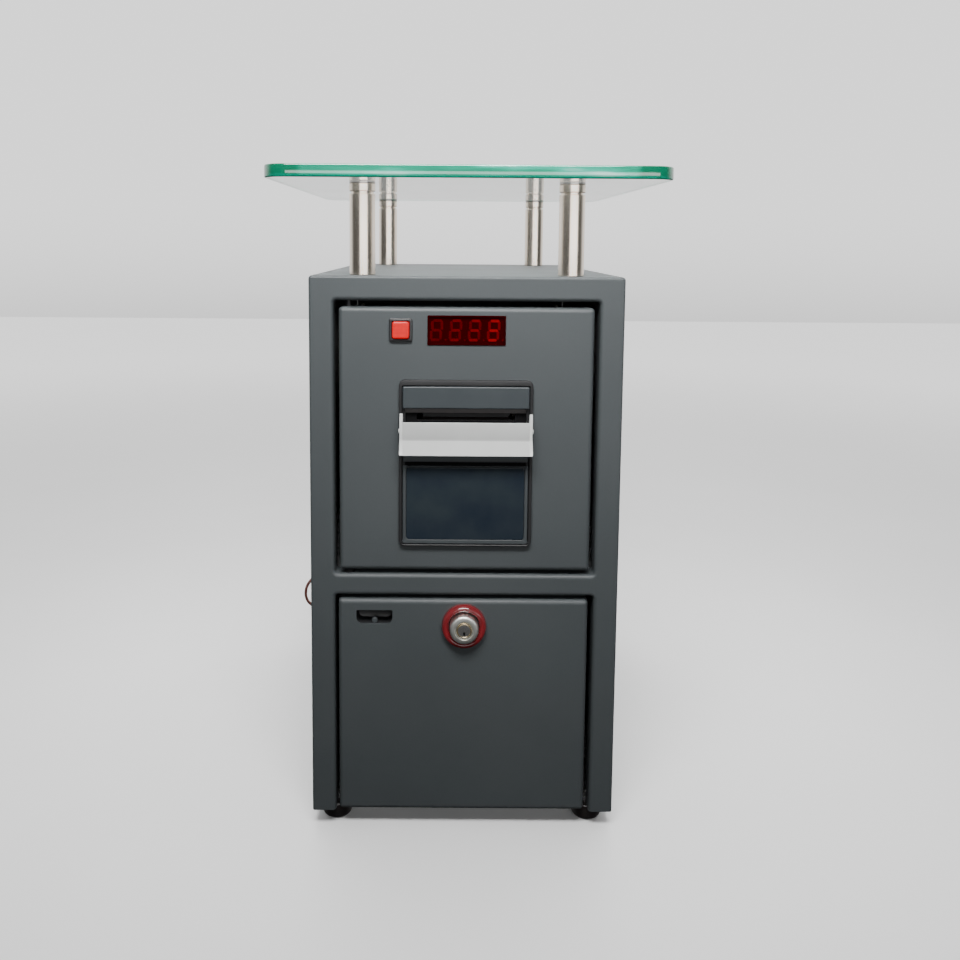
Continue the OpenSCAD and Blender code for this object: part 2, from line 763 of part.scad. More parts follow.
module lead_plug() {
    color([0.1, 0.1, 0.1]) difference() {
        union() {
            rod_x(plug_r, plug_y, plug_z, plug_x - 34, plug_x - 8);
            rod_x(3.2, plug_y, plug_z, plug_x - 8, plug_x);
        }
        rod_x(1, plug_y, plug_z, plug_x - 35, plug_x - 28);
    }
    color("silver") difference() {
        rod_x(2.75, plug_y, plug_z, plug_x - 44, plug_x - 34);
        rod_x(1.2, plug_y, plug_z, plug_x - 45, plug_x - 33);
    }
}

// ---------- upper panel ----------

module upper_panel() {
    hole_w = well_w + 2 * shell_t + 0.6;
    hole_z0 = well_z0 - shell_t - 0.3;
    hole_z1 = well_z1 + shell_t + 0.3;
    color("dimgray") difference() {
        pan(panel_x0, panel_x1, panel_z0, panel_z1);
        rod_z(pivot_d / 2 + fit, pivot_x, pivot_y, panel_z0 - 1, panel_z0 + sheet + 1);
        rod_z(pivot_d / 2 + fit, pivot_x, pivot_y, panel_z1 - sheet - 1, panel_z1 + 1);
        block([-hole_w / 2, front_y - 1, hole_z0], [hole_w / 2, front_y + sheet + 1, hole_z1]);
        block([-display_w / 2 - 0.2, front_y - 1, display_z - display_h / 2 - 0.2],
              [display_w / 2 + 0.2, front_y + sheet + 1, display_z + display_h / 2 + 0.2]);
        block([-button_x - well_out / 2 - 0.2, front_y - 1, button_z - well_out / 2 - 0.2],
              [-button_x + well_out / 2 + 0.2, front_y + sheet + 1,
               button_z + well_out / 2 + 0.2]);
    }
}

module catch_plate() {
    z = panel_z0 + sheet;
    color("silver") {
        block([catch_x + 1, front_y + fold_d - 8, z], [catch_x + 19, front_y + fold_d, z + 1]);
        block([catch_x + 1, front_y + fold_d - 1, z], [catch_x + 19, front_y + fold_d, z + 10]);
    }
}

module display_housing() {
    color([0.08, 0.05, 0.05]) difference() {
        block([-display_w / 2, display_y, display_z - display_h / 2],
              [display_w / 2, display_y + display_t, display_z + display_h / 2]);
        block([-display_w / 2 + 0.8, display_y - 1, display_z - display_h / 2 + 0.8],
              [display_w / 2 - 0.8, display_y + 1.6, display_z + display_h / 2 - 0.8]);
    }
}

// one segment as a flat bar with pointed ends, lying along x
module segment(l, w) {
    polygon([[-l / 2, 0], [-l / 2 + w / 2, w / 2], [l / 2 - w / 2, w / 2], [l / 2, 0],
             [l / 2 - w / 2, -w / 2], [-l / 2 + w / 2, -w / 2]]);
}

module digit(h) {
    w = h * 0.56;
    t = 1.7;
    gap = 0.25;
    half = h / 2 - t / 2;
    multmatrix([[1, 0.12, 0, 0], [0, 1, 0, 0], [0, 0, 1, 0], [0, 0, 0, 1]]) {
        for (y = [-half, 0, half]) translate([0, y]) segment(w - t - gap, t);
        for (x = [-1, 1], y = [-1, 1]) translate([x * (w - t) / 2, y * half / 2]) rotate(90)
            segment(half - gap, t);
    }
    translate([w / 2 + t + 0.4, -half]) circle(0.75);
}

digit_step = 12.3;
digit_shift = 1.1;             // makes room for the last digit's dot
module display_digits() {
    color([0.7, 0.05, 0.08]) for (i = [0:3])
        translate([(i - 1.5) * digit_step - digit_shift, display_y + 1.6 - snug, display_z]) rotate([90, 0, 0])
            linear_extrude(0.4) digit(digit_h);
}

module display_lens() {
    color([0.35, 0.02, 0.05, 0.5])
        block([-display_w / 2 + 0.85, display_y + 0.2, display_z - display_h / 2 + 0.85],
              [display_w / 2 - 0.85, display_y + 1, display_z + display_h / 2 - 0.85]);
}

module display_board() {
    y = display_y + display_t;
    color("darkgreen") block([-30, y, display_z - 11], [30, y + board_t, display_z + 11]);
    color("gold") for (s = [-1, 1]) rod_y(1.9, s * 27.6, display_z, front_y + sheet, y);
    color("silver") for (s = [-1, 1]) rod_y(2, s * 27.6, display_z, y + board_t,
                                            y + board_t + 1.5);
}

well_out = cap_w + 0.6 + 2;     // outside of the button's square well
module button_housing() {
    y1 = front_y + button_well;
    color([0.05, 0.05, 0.06]) difference() {
        union() {
            plate_y_round(button_w, button_w, 1, -button_x, button_z, front_y - button_lip,
                          front_y);
            block([-button_x - well_out / 2, front_y - 0.5, button_z - well_out / 2],
                  [-button_x + well_out / 2, y1 + 1.2, button_z + well_out / 2]);
            // snap ridges behind the panel
            for (s = [-1, 1])
                block([-button_x + s * well_out / 2 - 0.9, front_y + sheet + 0.05, button_z - 3],
                      [-button_x + s * well_out / 2 + 0.9, front_y + sheet + 2.5, button_z + 3]);
            for (s = [-1, 1])
                block([-button_x + s * 3 - 1, y1, button_z - 0.4],
                      [-button_x + s * 3 + 1, y1 + 8, button_z + 0.4]);
        }
        block([-button_x - cap_w / 2 - 0.3, front_y - 4, button_z - cap_w / 2 - 0.3],
              [-button_x + cap_w / 2 + 0.3, y1, button_z + cap_w / 2 + 0.3]);
    }
}

cap_y0 = front_y - button_lip - 1.5;
cap_y1 = front_y + button_well - button_travel - 3;
module button_cap() {
    color([0.9, 0.25, 0.22]) difference() {
        plate_y_round(cap_w, cap_w, 0.8, -button_x, button_z, cap_y0, cap_y1);
        rod_y(3.4, -button_x, button_z, cap_y1 - 4, cap_y1 + 1);
    }
}

module button_spring() {
    y1 = front_y + button_well;
    color("silver") translate([-button_x, cap_y1 - 4, button_z]) rotate([-90, 0, 0])
        spring(2.4, 0.35, y1 - cap_y1 + 4, 5);
}

// ---------- ticket printer ----------

module printer_bezel() {
    zc = (bezel_z0 + bezel_z1) / 2;
    color([0.2, 0.21, 0.22]) difference() {
        plate_y_round(bezel_w, bezel_h, bezel_r, 0, zc, bezel_y, front_y);
        block([-win_w / 2, bezel_y - 1, win_z0], [win_w / 2, lip_y, win_z1]);
        block([-well_w / 2, bezel_y - 1, well_z0], [well_w / 2, front_y + 1, well_z1]);
        rod_x(stub_r + fit, hinge_y, hinge_z, -win_w / 2 - 1.5, win_w / 2 + 1.5);
    }
}

module printer_chassis() {
    w = well_w + 2 * shell_t;
    y1 = front_y + printer_d;
    color([0.16, 0.16, 0.17]) difference() {
        union() {
            difference() {
                block([-w / 2, front_y, well_z0 - shell_t], [w / 2, y1, well_z1 + shell_t]);
                block([-well_w / 2, front_y - 1, well_z0], [well_w / 2, y1 - shell_t, well_z1]);
            }
            // beam over the print head
            block([-24, platen_y - 4, beam_z], [24, platen_y + 4, well_z1 + 0.5]);
            // wall that carries the feed motor
            block([motor_wall_x, motor_y - 14, motor_z - 13],
                  [motor_wall_x + 2, y1 - shell_t / 2, well_z1 + 0.5]);
            // stub axle of the idler gear
            rod_x(2, idler_y, idler_z, gear_x - 0.5, well_w / 2 + 0.5);
            // clip ridges behind the panel's face
            for (s = [-1, 1])
                block([s * w / 2 - 0.9, front_y + sheet + 0.05, well_z1 - 30],
                      [s * w / 2 + 0.9, front_y + sheet + 4, well_z1 - 18]);
        }
        rod_x(platen_shaft_r + fit, platen_y, platen_z, -w / 2 - 1, w / 2 + 1);
        rod_x(3, motor_y, motor_z, motor_wall_x - 1, motor_wall_x + 3);
    }
}

module printer_cover() {
    w0 = win_w - 0.4;
    w1 = well_w - 0.4;
    y1 = plate_y + plate_t;
    color([0.22, 0.23, 0.24]) difference() {
        union() {
            block([-w0 / 2, bezel_y - 0.2, bar_z0], [w0 / 2, lip_y, win_z1 - 0.3]);
            block([-w1 / 2, lip_y - 0.5, bar_z0], [w1 / 2, y1, bar_z0 + 1.5]);
            block([-w1 / 2, plate_y, band_z0], [w1 / 2, y1, bar_z0 + 1]);
            block([-w0 / 2, bezel_y + 0.8, band_z0], [w0 / 2, lip_y, band_z1]);
            block([-w1 / 2, lip_y - 0.5, band_z0], [w1 / 2, plate_y + 0.5, band_z1]);
            for (s = [-1, 1]) ear(s);
        }
        block([-mouth_w / 2, plate_y - 1, mouth_z0], [mouth_w / 2, y1 + 1, mouth_z1 + 0.6]);
        rod_x(flap_pin_r + snug, flap_pin_y, flap_pin_z, -w0, w0);
    }
}

// ear on the cover that holds a flap pin
ear_x = well_w / 2 - 0.2;
module ear(s) {
    x0 = min(s * ear_x, s * (ear_x - ear_t));
    rod_x(ear_r, flap_pin_y, flap_pin_z, x0, x0 + ear_t);
    block([x0, flap_pin_y, flap_pin_z - ear_r], [x0 + ear_t, plate_y + 0.5, flap_pin_z + ear_r]);
}

module flap_pins() {
    color("silver") for (s = [-1, 1]) {
        x0 = ear_x - ear_t - 0.6;
        x1 = flap_w / 2 + 0.2;
        rod_x(flap_pin_r, flap_pin_y, flap_pin_z, min(s * x0, s * x1), max(s * x0, s * x1));
        rod_x(1.6, flap_pin_y, flap_pin_z, min(s * x1, s * (x1 + 0.8)),
              max(s * x1, s * (x1 + 0.8)));
    }
}

module ticket_flap() {
    w = flap_w / 2;
    slope = 5;                                  // how far the lower lip leans out
    color([0.82, 0.83, 0.81]) difference() {
        union() {
            translate([-w, 0, 0]) rotate([90, 0, 90]) linear_extrude(2 * w) polygon([
                [flap_y, flap_top], [flap_y + flap_t, flap_top],
                [flap_y + flap_t, flap_bend - 0.6], [flap_y + flap_t - slope, flap_low],
                [flap_y - slope, flap_low], [flap_y, flap_bend]]);
            for (s = [-1, 1])
                translate([min(s * w, s * (w - arm_t)), 0, 0]) rotate([90, 0, 90])
                    linear_extrude(arm_t) arm_outline();
        }
        rod_x(flap_pin_r + fit, flap_pin_y, flap_pin_z, -w - 1, w + 1);
    }
}

// side arm of the flap: tapers towards its top and bottom
module arm_outline() {
    polygon([[flap_y, arm_top], [flap_y + 1.6, arm_top], [flap_pin_y + 0.5, flap_pin_z + 5],
             [flap_pin_y + 1.9, flap_pin_z + 1], [flap_pin_y + 1.9, flap_pin_z - 2],
             [flap_pin_y + 0.6, flap_pin_z - 5], [flap_y - 3.4, flap_low],
             [flap_y - 5, flap_low], [flap_y, flap_bend]]);
}

pane_w = 77.4;
pane_z1 = door_z1 - 0.9;
pane_z0 = hinge_z + hinge_r + 0.4;
pane_t = 1;
module paper_door() {
    w = win_w - 0.6;
    y0 = hinge_y - hinge_r;
    color([0.17, 0.18, 0.2]) difference() {
        union() {
            block([-w / 2, y0, hinge_z], [w / 2, y0 + door_t, door_z1]);
            rod_x(hinge_r, hinge_y, hinge_z, -w / 2, w / 2);
            rod_x(stub_r, hinge_y, hinge_z, -win_w / 2 - 1.2, win_w / 2 + 1.2);
        }
        block([-pane_w / 2, y0 - 1, pane_z0], [pane_w / 2, y0 + pane_t, pane_z1]);
        block([-pane_w / 2 + 3, y0 - 1, pane_z0 + 3],
              [pane_w / 2 - 3, y0 + door_t + 1, pane_z1 - 3]);
    }
}

module door_window() {
    y0 = hinge_y - hinge_r;
    color([0.1, 0.13, 0.17])
        block([-pane_w / 2 + 0.1, y0, pane_z0 + 0.1], [pane_w / 2 - 0.1, y0 + pane_t,
                                                        pane_z1 - 0.1]);
}

platen_shaft_r = 2;
module platen_roller() {
    color([0.12, 0.12, 0.12]) rod_x(platen_r, platen_y, platen_z, -29, 29);
    color("silver") rod_x(platen_shaft_r, platen_y, platen_z, -well_w / 2 - 1, well_w / 2 + 1);
    color("ivory") gear_x_axis(platen_n, gear_m, idler_dir, platen_y, platen_z, gear_x,
                               gear_x + gear_t);
}

module idler_gear() {
    color("ivory") difference() {
        gear_x_axis(idler_n, gear_m, idler_phase, idler_y, idler_z, gear_x, gear_x + gear_t);
        rod_x(2 + fit, idler_y, idler_z, gear_x - 1, gear_x + gear_t + 1);
    }
}

module motor_gear() {
    color("ivory")
        gear_x_axis(motor_n, gear_m, motor_phase, motor_y, motor_z, gear_x, gear_x + gear_t);
    color("silver") rod_x(1, motor_y, motor_z, motor_wall_x - 10, gear_x + 1);
}

module feed_motor() {
    color([0.6, 0.6, 0.62]) difference() {
        rod_x(motor_r, motor_y, motor_z, motor_wall_x - motor_l, motor_wall_x);
        rod_x(1 + fit, motor_y, motor_z, motor_wall_x - 10.2, motor_wall_x + 1);
    }
}

module thermal_head() {
    color([0.55, 0.55, 0.56]) {
        block([-28, platen_y - 5, head_z], [28, platen_y + 5, head_z + head_h - 1]);
        block([-28, platen_y - 5, head_z], [28, platen_y - 3, head_z + head_h]);
        for (s = [-1, 1]) rod_z(3.2, s * 18, platen_y, head_z + 1, head_z + head_h);
    }
}

module head_springs() {
    color("silver") for (s = [-1, 1])
        translate([s * 18, platen_y, head_z + head_h]) spring(2.2, 0.4, beam_z - head_z - head_h,
                                                              5);
}

module roll_spindle() {
    color([0.25, 0.25, 0.27]) rod_x(core_r, roll_y, roll_z, -well_w / 2, well_w / 2);
}

module paper_roll() {
    color("ivory") difference() {
        rod_x(roll_d / 2, roll_y, roll_z, -roll_w / 2, roll_w / 2);
        rod_x(core_r + fit, roll_y, roll_z, -roll_w, roll_w);
    }
}

// ---------- drawer ----------

module drawer_front() {
    color("dimgray") difference() {
        pan(drawer_x0, drawer_x1, drawer_z0, drawer_z1);
        rod_y(lock_body_r + snug, 0, lock_z, front_y - 1, front_y + sheet + 1);
        translate([0, front_y + sheet + 1, 0]) rotate([90, 0, 0]) linear_extrude(sheet + 2)
            pull_outline(0);
    }
}

// finger pull: flat top edge, lower corners rounded
module pull_outline(inset) {
    w = pull_w - 2 * inset;
    h = pull_h - 2 * inset;
    r = max(pull_h * 0.42 - inset, 0.5);
    translate([pull_x, pull_z]) {
        translate([-w / 2, -h / 2 + r]) square([w, h - r]);
        translate([-w / 2 + r, -h / 2]) square([w - 2 * r, r + 0.1]);
        for (s = [-1, 1]) translate([s * (w / 2 - r), -h / 2 + r]) circle(r);
    }
}

module pull_cup() {
    color([0.05, 0.05, 0.05]) {
        difference() {
            union() {
                translate([0, front_y + sheet + pull_depth, 0]) rotate([90, 0, 0])
                    linear_extrude(pull_depth) pull_outline(-1.2);
                translate([0, front_y + sheet + 1.2, 0]) rotate([90, 0, 0])
                    linear_extrude(1.2) pull_outline(-3);
            }
            translate([0, front_y + sheet + pull_depth - 1.2, 0]) rotate([90, 0, 0])
                linear_extrude(pull_depth + 2) pull_outline(0.2);
        }
        // small nub at the lower edge
        block([pull_x - 1.2, front_y + sheet, pull_z - pull_h / 2 + 0.1],
              [pull_x + 1.2, front_y + sheet + 2, pull_z - pull_h / 2 + 1.8]);
    }
}

module drawer_tray() {
    w = tray_w / 2;
    color("gray") difference() {
        block([-w, tray_y, tray_z], [w, tray_y + tray_d, tray_z + tray_h]);
        block([-w + tray_t, tray_y + tray_t, tray_z + tray_t],
              [w - tray_t, tray_y + tray_d - tray_t, tray_z + tray_h + 1]);
    }
}

module slide_bars() {
    y0 = tray_y + fold_d;
    y1 = tray_y + tray_d;
    color("silver") for (s = [-1, 1]) {
        block([min(s * tray_w / 2, s * (tray_w / 2 + slide_t)), y0, slide_z],
              [max(s * tray_w / 2, s * (tray_w / 2 + slide_t)), y1, slide_z + slide_h]);
        x0 = tray_w / 2 + slide_t - 1;
        x1 = runner_x - seam;
        rod_x(2, y1 - peg_back, slide_z + slide_h / 2, min(s * x0, s * x1),
              max(s * x0, s * x1));
    }
}

lock_body_r = lock_d / 2 - 1;
module lock_ring() {
    r = ring_d / 2;
    inner = lock_d / 2 + 0.5;
    color([0.7, 0.08, 0.1]) translate([0, front_y, lock_z]) rotate([90, 0, 0]) rotate_extrude()
        difference() {
            union() {
                translate([inner, 0]) square([r - inner - 2, 5]);
                translate([inner, 0]) square([r - inner, 3]);
                translate([r - 2, 3]) circle(2);
            }
            translate([-r, -r]) square([r + inner, 2 * r]);
            translate([0, -r]) square([2 * r, r]);
        }
}

module lock_housing() {
    color([0.85, 0.85, 0.84]) difference() {
        union() {
            rod_y(lock_d / 2, 0, lock_z, lock_face + 1, front_y);
            translate([0, lock_face + 1, lock_z]) rotate([90, 0, 0])
                cylinder(r1 = lock_d / 2, r2 = lock_d / 2 - 1, h = 1);
            rod_y(lock_body_r, 0, lock_z, front_y - 0.5, lock_back);
            translate([0, front_y + sheet, lock_z]) rotate([-90, 0, 0])
                cylinder(r = lock_d / 2 + 3, h = 3, $fn = 6);
        }
        rod_y(plug_d / 2 + fit, 0, lock_z, lock_face - 1, lock_back + 1);
    }
}

module key_plug() {
    color([0.72, 0.68, 0.58]) difference() {
        union() {
            rod_y(plug_d / 2, 0, lock_z, lock_face - 0.4, lock_back + 0.3);
            rod_y(3, 0, lock_z, lock_back, lock_back + 0.3 + cam_t + 2);
        }
        block([-0.7, lock_face - 2, lock_z - 3.6], [0.7, lock_face + 9, lock_z + 3.6]);
        block([-1.4, lock_face - 2, lock_z - 3.6], [0.7, lock_face + 9, lock_z - 1.6]);
    }
}

module lock_cam() {
    y0 = lock_back + 0.3;
    color("silver") difference() {
        union() {
            rod_y(7, 0, lock_z, y0, y0 + cam_t);
            block([0, y0, lock_z - 5], [cam_len, y0 + cam_t, lock_z + 5]);
        }
        rod_y(3 + snug, 0, lock_z, y0 - 1, y0 + cam_t + 1);
    }
}

cabinet_shell();
mid_rail();
bottom_plate();
inner_shelf();
back_panel();
back_screws();
rubber_feet();
foot_screws();
runner_left();
runner_right();
control_board();
board_components();
board_standoffs();
pivot_pins();
magnet_catch();
post_front_left();
post_front_right();
post_rear_left();
post_rear_right();
post_collars();
post_bolts();
glass_pads();
glass_top();
cable_gland();
power_lead();
lead_coil();
lead_plug();
upper_panel();
catch_plate();
display_housing();
display_digits();
display_lens();
display_board();
button_housing();
button_spring();
button_cap();
printer_bezel();
printer_chassis();
printer_cover();
thermal_head();
head_springs();
feed_motor();
flap_pins();
roll_spindle();
ticket_flap();
paper_door();
door_window();
platen_roller();
idler_gear();
motor_gear();
paper_roll();
drawer_front();
drawer_tray();
slide_bars();
lock_ring();
lock_housing();
pull_cup();
key_plug();
lock_cam();
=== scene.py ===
"""Looks of the counter-top ticket machine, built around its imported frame."""
import math

import bmesh
import bpy
from mathutils import Matrix, Vector
from mathutils.geometry import tessellate_polygon


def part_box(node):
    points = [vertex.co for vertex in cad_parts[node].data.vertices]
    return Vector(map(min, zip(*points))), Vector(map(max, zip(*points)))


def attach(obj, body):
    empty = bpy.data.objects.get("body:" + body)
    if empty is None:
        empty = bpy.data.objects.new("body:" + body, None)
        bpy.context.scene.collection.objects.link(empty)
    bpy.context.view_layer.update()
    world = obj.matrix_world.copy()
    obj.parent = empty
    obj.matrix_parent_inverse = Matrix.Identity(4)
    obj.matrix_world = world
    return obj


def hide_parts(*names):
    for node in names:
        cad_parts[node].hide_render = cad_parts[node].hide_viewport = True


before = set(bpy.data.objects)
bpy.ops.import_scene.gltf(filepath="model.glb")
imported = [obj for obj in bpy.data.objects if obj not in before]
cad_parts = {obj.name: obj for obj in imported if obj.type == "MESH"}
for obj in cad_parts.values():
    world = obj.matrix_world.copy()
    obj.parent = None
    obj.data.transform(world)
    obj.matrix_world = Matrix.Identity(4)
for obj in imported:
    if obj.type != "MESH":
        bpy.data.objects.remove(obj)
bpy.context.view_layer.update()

MM = 0.001
CORNER_STEPS = 6
BEND_STEPS = 6
ROUND = 72

# ---------------------------------------------------------------- places, from the frame


def span(node):
    """Lowest and highest corner of a CAD node, in millimetres."""
    low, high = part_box(node)
    return [v / MM for v in low], [v / MM for v in high]


shell_low, shell_high = span("cabinet_shell")
rail_low, rail_high = span("mid_rail")
panel_low, panel_high = span("upper_panel")
drawer_low, drawer_high = span("drawer_front")
glass_low, glass_high = span("glass_top")
bezel_low, bezel_high = span("printer_bezel")
cover_low, cover_high = span("printer_cover")
flap_low, flap_high = span("ticket_flap")
pins_low, pins_high = span("flap_pins")
paper_door_low, paper_door_high = span("paper_door")
window_low, window_high = span("door_window")
display_low, display_high = span("display_housing")
digits_low, digits_high = span("display_digits")
lens_low, lens_high = span("display_lens")
button_low, button_high = span("button_housing")
cap_low, cap_high = span("button_cap")
ring_low, ring_high = span("lock_ring")
lock_low, lock_high = span("lock_housing")
plug_low, plug_high = span("key_plug")
pull_low, pull_high = span("pull_cup")
tray_low, tray_high = span("drawer_tray")
foot_low, foot_high = span("rubber_feet")
chassis_low, chassis_high = span("printer_chassis")

front = shell_low[1]
sheet = 1.5
fold = rail_high[1] - front


def centre_of(low, high, axis):
    """Middle of a box along one axis."""
    return (low[axis] + high[axis]) / 2


pin_y, pin_z = (centre_of(pins_low, pins_high, axis) for axis in (1, 2))
lock_x, lock_z = (centre_of(ring_low, ring_high, axis) for axis in (0, 2))
cap_x, cap_z = (centre_of(cap_low, cap_high, axis) for axis in (0, 2))
mouth_foot_z = bezel_high[2] - 26.7
knee_z = bezel_high[2] - 38.1
pull_margin = 3.0
pull_hole = (pull_low[0] + pull_margin, pull_high[0] - pull_margin,
             pull_low[2] + pull_margin, pull_high[2] - pull_margin)

# ---------------------------------------------------------------- camera


def make_camera():
    """Camera just over the cabinet's top and a little left of its centre."""
    data = bpy.data.cameras.new("camera")
    data.lens = 34.9
    data.sensor_width = 36
    data.shift_x = 0.035
    data.shift_y = -0.144
    data.clip_start = 0.01
    camera = bpy.data.objects.new("camera", data)
    bpy.context.scene.collection.objects.link(camera)
    pitch = math.radians(90 - 6.14)
    roll = math.radians(0.4)
    camera.rotation_euler = (Matrix.Rotation(pitch, 3, "X") @ Matrix.Rotation(roll, 3, "Z")
                             ).to_euler()
    camera.location = (-0.013, (front - 597) * MM, (shell_high[2] + 22) * MM)
    bpy.context.scene.camera = camera


# ---------------------------------------------------------------- materials

MATERIALS = {}


def material(name, colour, rough, metallic=0.0, **sockets):
    """A Principled material with its constant sockets set directly."""
    mat = bpy.data.materials.new(name)
    mat.use_nodes = True
    bsdf = mat.node_tree.nodes["Principled BSDF"]
    bsdf.inputs["Base Color"].default_value = (*colour, 1)
    bsdf.inputs["Roughness"].default_value = rough
    bsdf.inputs["Metallic"].default_value = metallic
    for key, value in sockets.items():
        bsdf.inputs[key.replace("_", " ")].default_value = value
    MATERIALS[name] = mat
    return mat


def add(mat, kind, **values):
    """A node of that kind in the material, with its values set by input name."""
    node = mat.node_tree.nodes.new(kind)
    for key, value in values.items():
        if hasattr(node, key):
            setattr(node, key, value)
        else:
            node.inputs[key.replace("_", " ")].default_value = value
    return node


def link(mat, source, target):
    mat.node_tree.links.new(source, target)


def object_points(mat, stretch=(1, 1, 1)):
    """Object coordinates, stretched along the axes."""
    coords = add(mat, "ShaderNodeTexCoord")
    mapping = add(mat, "ShaderNodeMapping")
    mapping.inputs["Scale"].default_value = stretch
    link(mat, coords.outputs["Object"], mapping.inputs["Vector"])
    return mapping.outputs["Vector"]


def noise(mat, points, scale, detail=4.0, roughness=0.55):
    node = add(mat, "ShaderNodeTexNoise", Scale=scale, Detail=detail, Roughness=roughness)
    link(mat, points, node.inputs["Vector"])
    return node.outputs["Fac"]


def ramp(mat, factor, low, high, start=0.3, end=0.7):
    """Two-colour ramp of a factor."""
    node = add(mat, "ShaderNodeValToRGB")
    node.color_ramp.elements[0].position = start
    node.color_ramp.elements[1].position = end
    node.color_ramp.elements[0].color = (*low, 1)
    node.color_ramp.elements[1].color = (*high, 1)
    link(mat, factor, node.inputs["Fac"])
    return node.outputs["Color"]


def spread(mat, factor, low, high):
    """Maps a factor between two values."""
    node = add(mat, "ShaderNodeMapRange")
    node.inputs["To Min"].default_value = low
    node.inputs["To Max"].default_value = high
    link(mat, factor, node.inputs["Value"])
    return node.outputs["Result"]


def bump(mat, height, strength, distance, normal=None):
    node = add(mat, "ShaderNodeBump", Strength=strength, Distance=distance)
    link(mat, height, node.inputs["Height"])
    if normal:
        link(mat, normal, node.inputs["Normal"])
    return node.outputs["Normal"]


def shader(mat):
    return mat.node_tree.nodes["Principled BSDF"]


def textured(name, dark, light, rough, rough_spread=0.06, patch=35.0, grain=1500.0,
             grain_depth=0.00004, grain_strength=0.5, metallic=0.0, stretch=(1, 1, 1), **sockets):
    """A finish whose colour drifts in soft patches and whose surface has a fine grain."""
    mid = [(a + b) / 2 for a, b in zip(dark, light)]
    mat = material(name, mid, rough, metallic, **sockets)
    points = object_points(mat, stretch)
    patches = noise(mat, points, patch, 5.0)
    link(mat, ramp(mat, patches, dark, light), shader(mat).inputs["Base Color"])
    fine = noise(mat, points, grain, 2.0, 0.6)
    link(mat, spread(mat, fine, rough - rough_spread, rough + rough_spread),
         shader(mat).inputs["Roughness"])
    link(mat, bump(mat, fine, grain_strength, grain_depth), shader(mat).inputs["Normal"])
    return mat


def powder_coat():
    """Charcoal powder coat: fine pebbled skin, faint orange peel, slightly rubbed patches."""
    mat = material("powder_coat", (0.045, 0.052, 0.055), 0.45, Specular_IOR_Level=0.42)
    points = object_points(mat)
    patches = noise(mat, points, 9.0, 6.0, 0.6)
    base = ramp(mat, patches, (0.044, 0.051, 0.054), (0.052, 0.059, 0.062), 0.3, 0.72)
    fleck = noise(mat, points, 2600.0, 1.0)
    mix = add(mat, "ShaderNodeMix", data_type="RGBA", blend_type="MULTIPLY")
    mix.inputs[0].default_value = 0.4
    link(mat, base, mix.inputs[6])
    link(mat, ramp(mat, fleck, (0.7, 0.7, 0.7), (1, 1, 1), 0.32, 0.6), mix.inputs[7])
    link(mat, mix.outputs[2], shader(mat).inputs["Base Color"])
    pebbles = add(mat, "ShaderNodeTexVoronoi", Scale=1250.0, feature="SMOOTH_F1")
    link(mat, points, pebbles.inputs["Vector"])
    rubbed = noise(mat, points, 22.0, 4.0)
    link(mat, spread(mat, rubbed, 0.46, 0.57), shader(mat).inputs["Roughness"])
    peel = noise(mat, points, 330.0, 2.0)
    skin = bump(mat, pebbles.outputs["Distance"], 0.3, 0.00006)
    link(mat, bump(mat, peel, 0.08, 0.00012, skin), shader(mat).inputs["Normal"])
    return mat


def brushed(name, dark, light, rough, along=(1, 1, 0.02), grain=2400.0, strength=0.25):
    """Metal with fine lines along the axis whose scale is small."""
    mat = material(name, light, rough, 1.0)
    points = object_points(mat, along)
    lines = noise(mat, points, grain, 3.0, 0.7)
    link(mat, ramp(mat, lines, dark, light), shader(mat).inputs["Base Color"])
    link(mat, spread(mat, lines, rough - 0.05, rough + 0.08), shader(mat).inputs["Roughness"])
    link(mat, bump(mat, lines, strength, 0.00002), shader(mat).inputs["Normal"])
    return mat


def galvanised():
    """Zinc-coated sheet with faint spangle."""
    mat = material("galvanised_sheet", (0.5, 0.51, 0.52), 0.4, 0.9)
    points = object_points(mat)
    spangle = add(mat, "ShaderNodeTexVoronoi", Scale=120.0)
    link(mat, points, spangle.inputs["Vector"])
    tone = add(mat, "ShaderNodeSeparateColor")
    link(mat, spangle.outputs["Color"], tone.inputs["Color"])
    link(mat, ramp(mat, tone.outputs["Red"], (0.40, 0.41, 0.42), (0.56, 0.57, 0.58), 0, 1),
         shader(mat).inputs["Base Color"])
    link(mat, spread(mat, tone.outputs["Green"], 0.32, 0.48), shader(mat).inputs["Roughness"])
    fine = noise(mat, points, 1800.0, 2.0)
    link(mat, bump(mat, fine, 0.15, 0.00002), shader(mat).inputs["Normal"])
    return mat


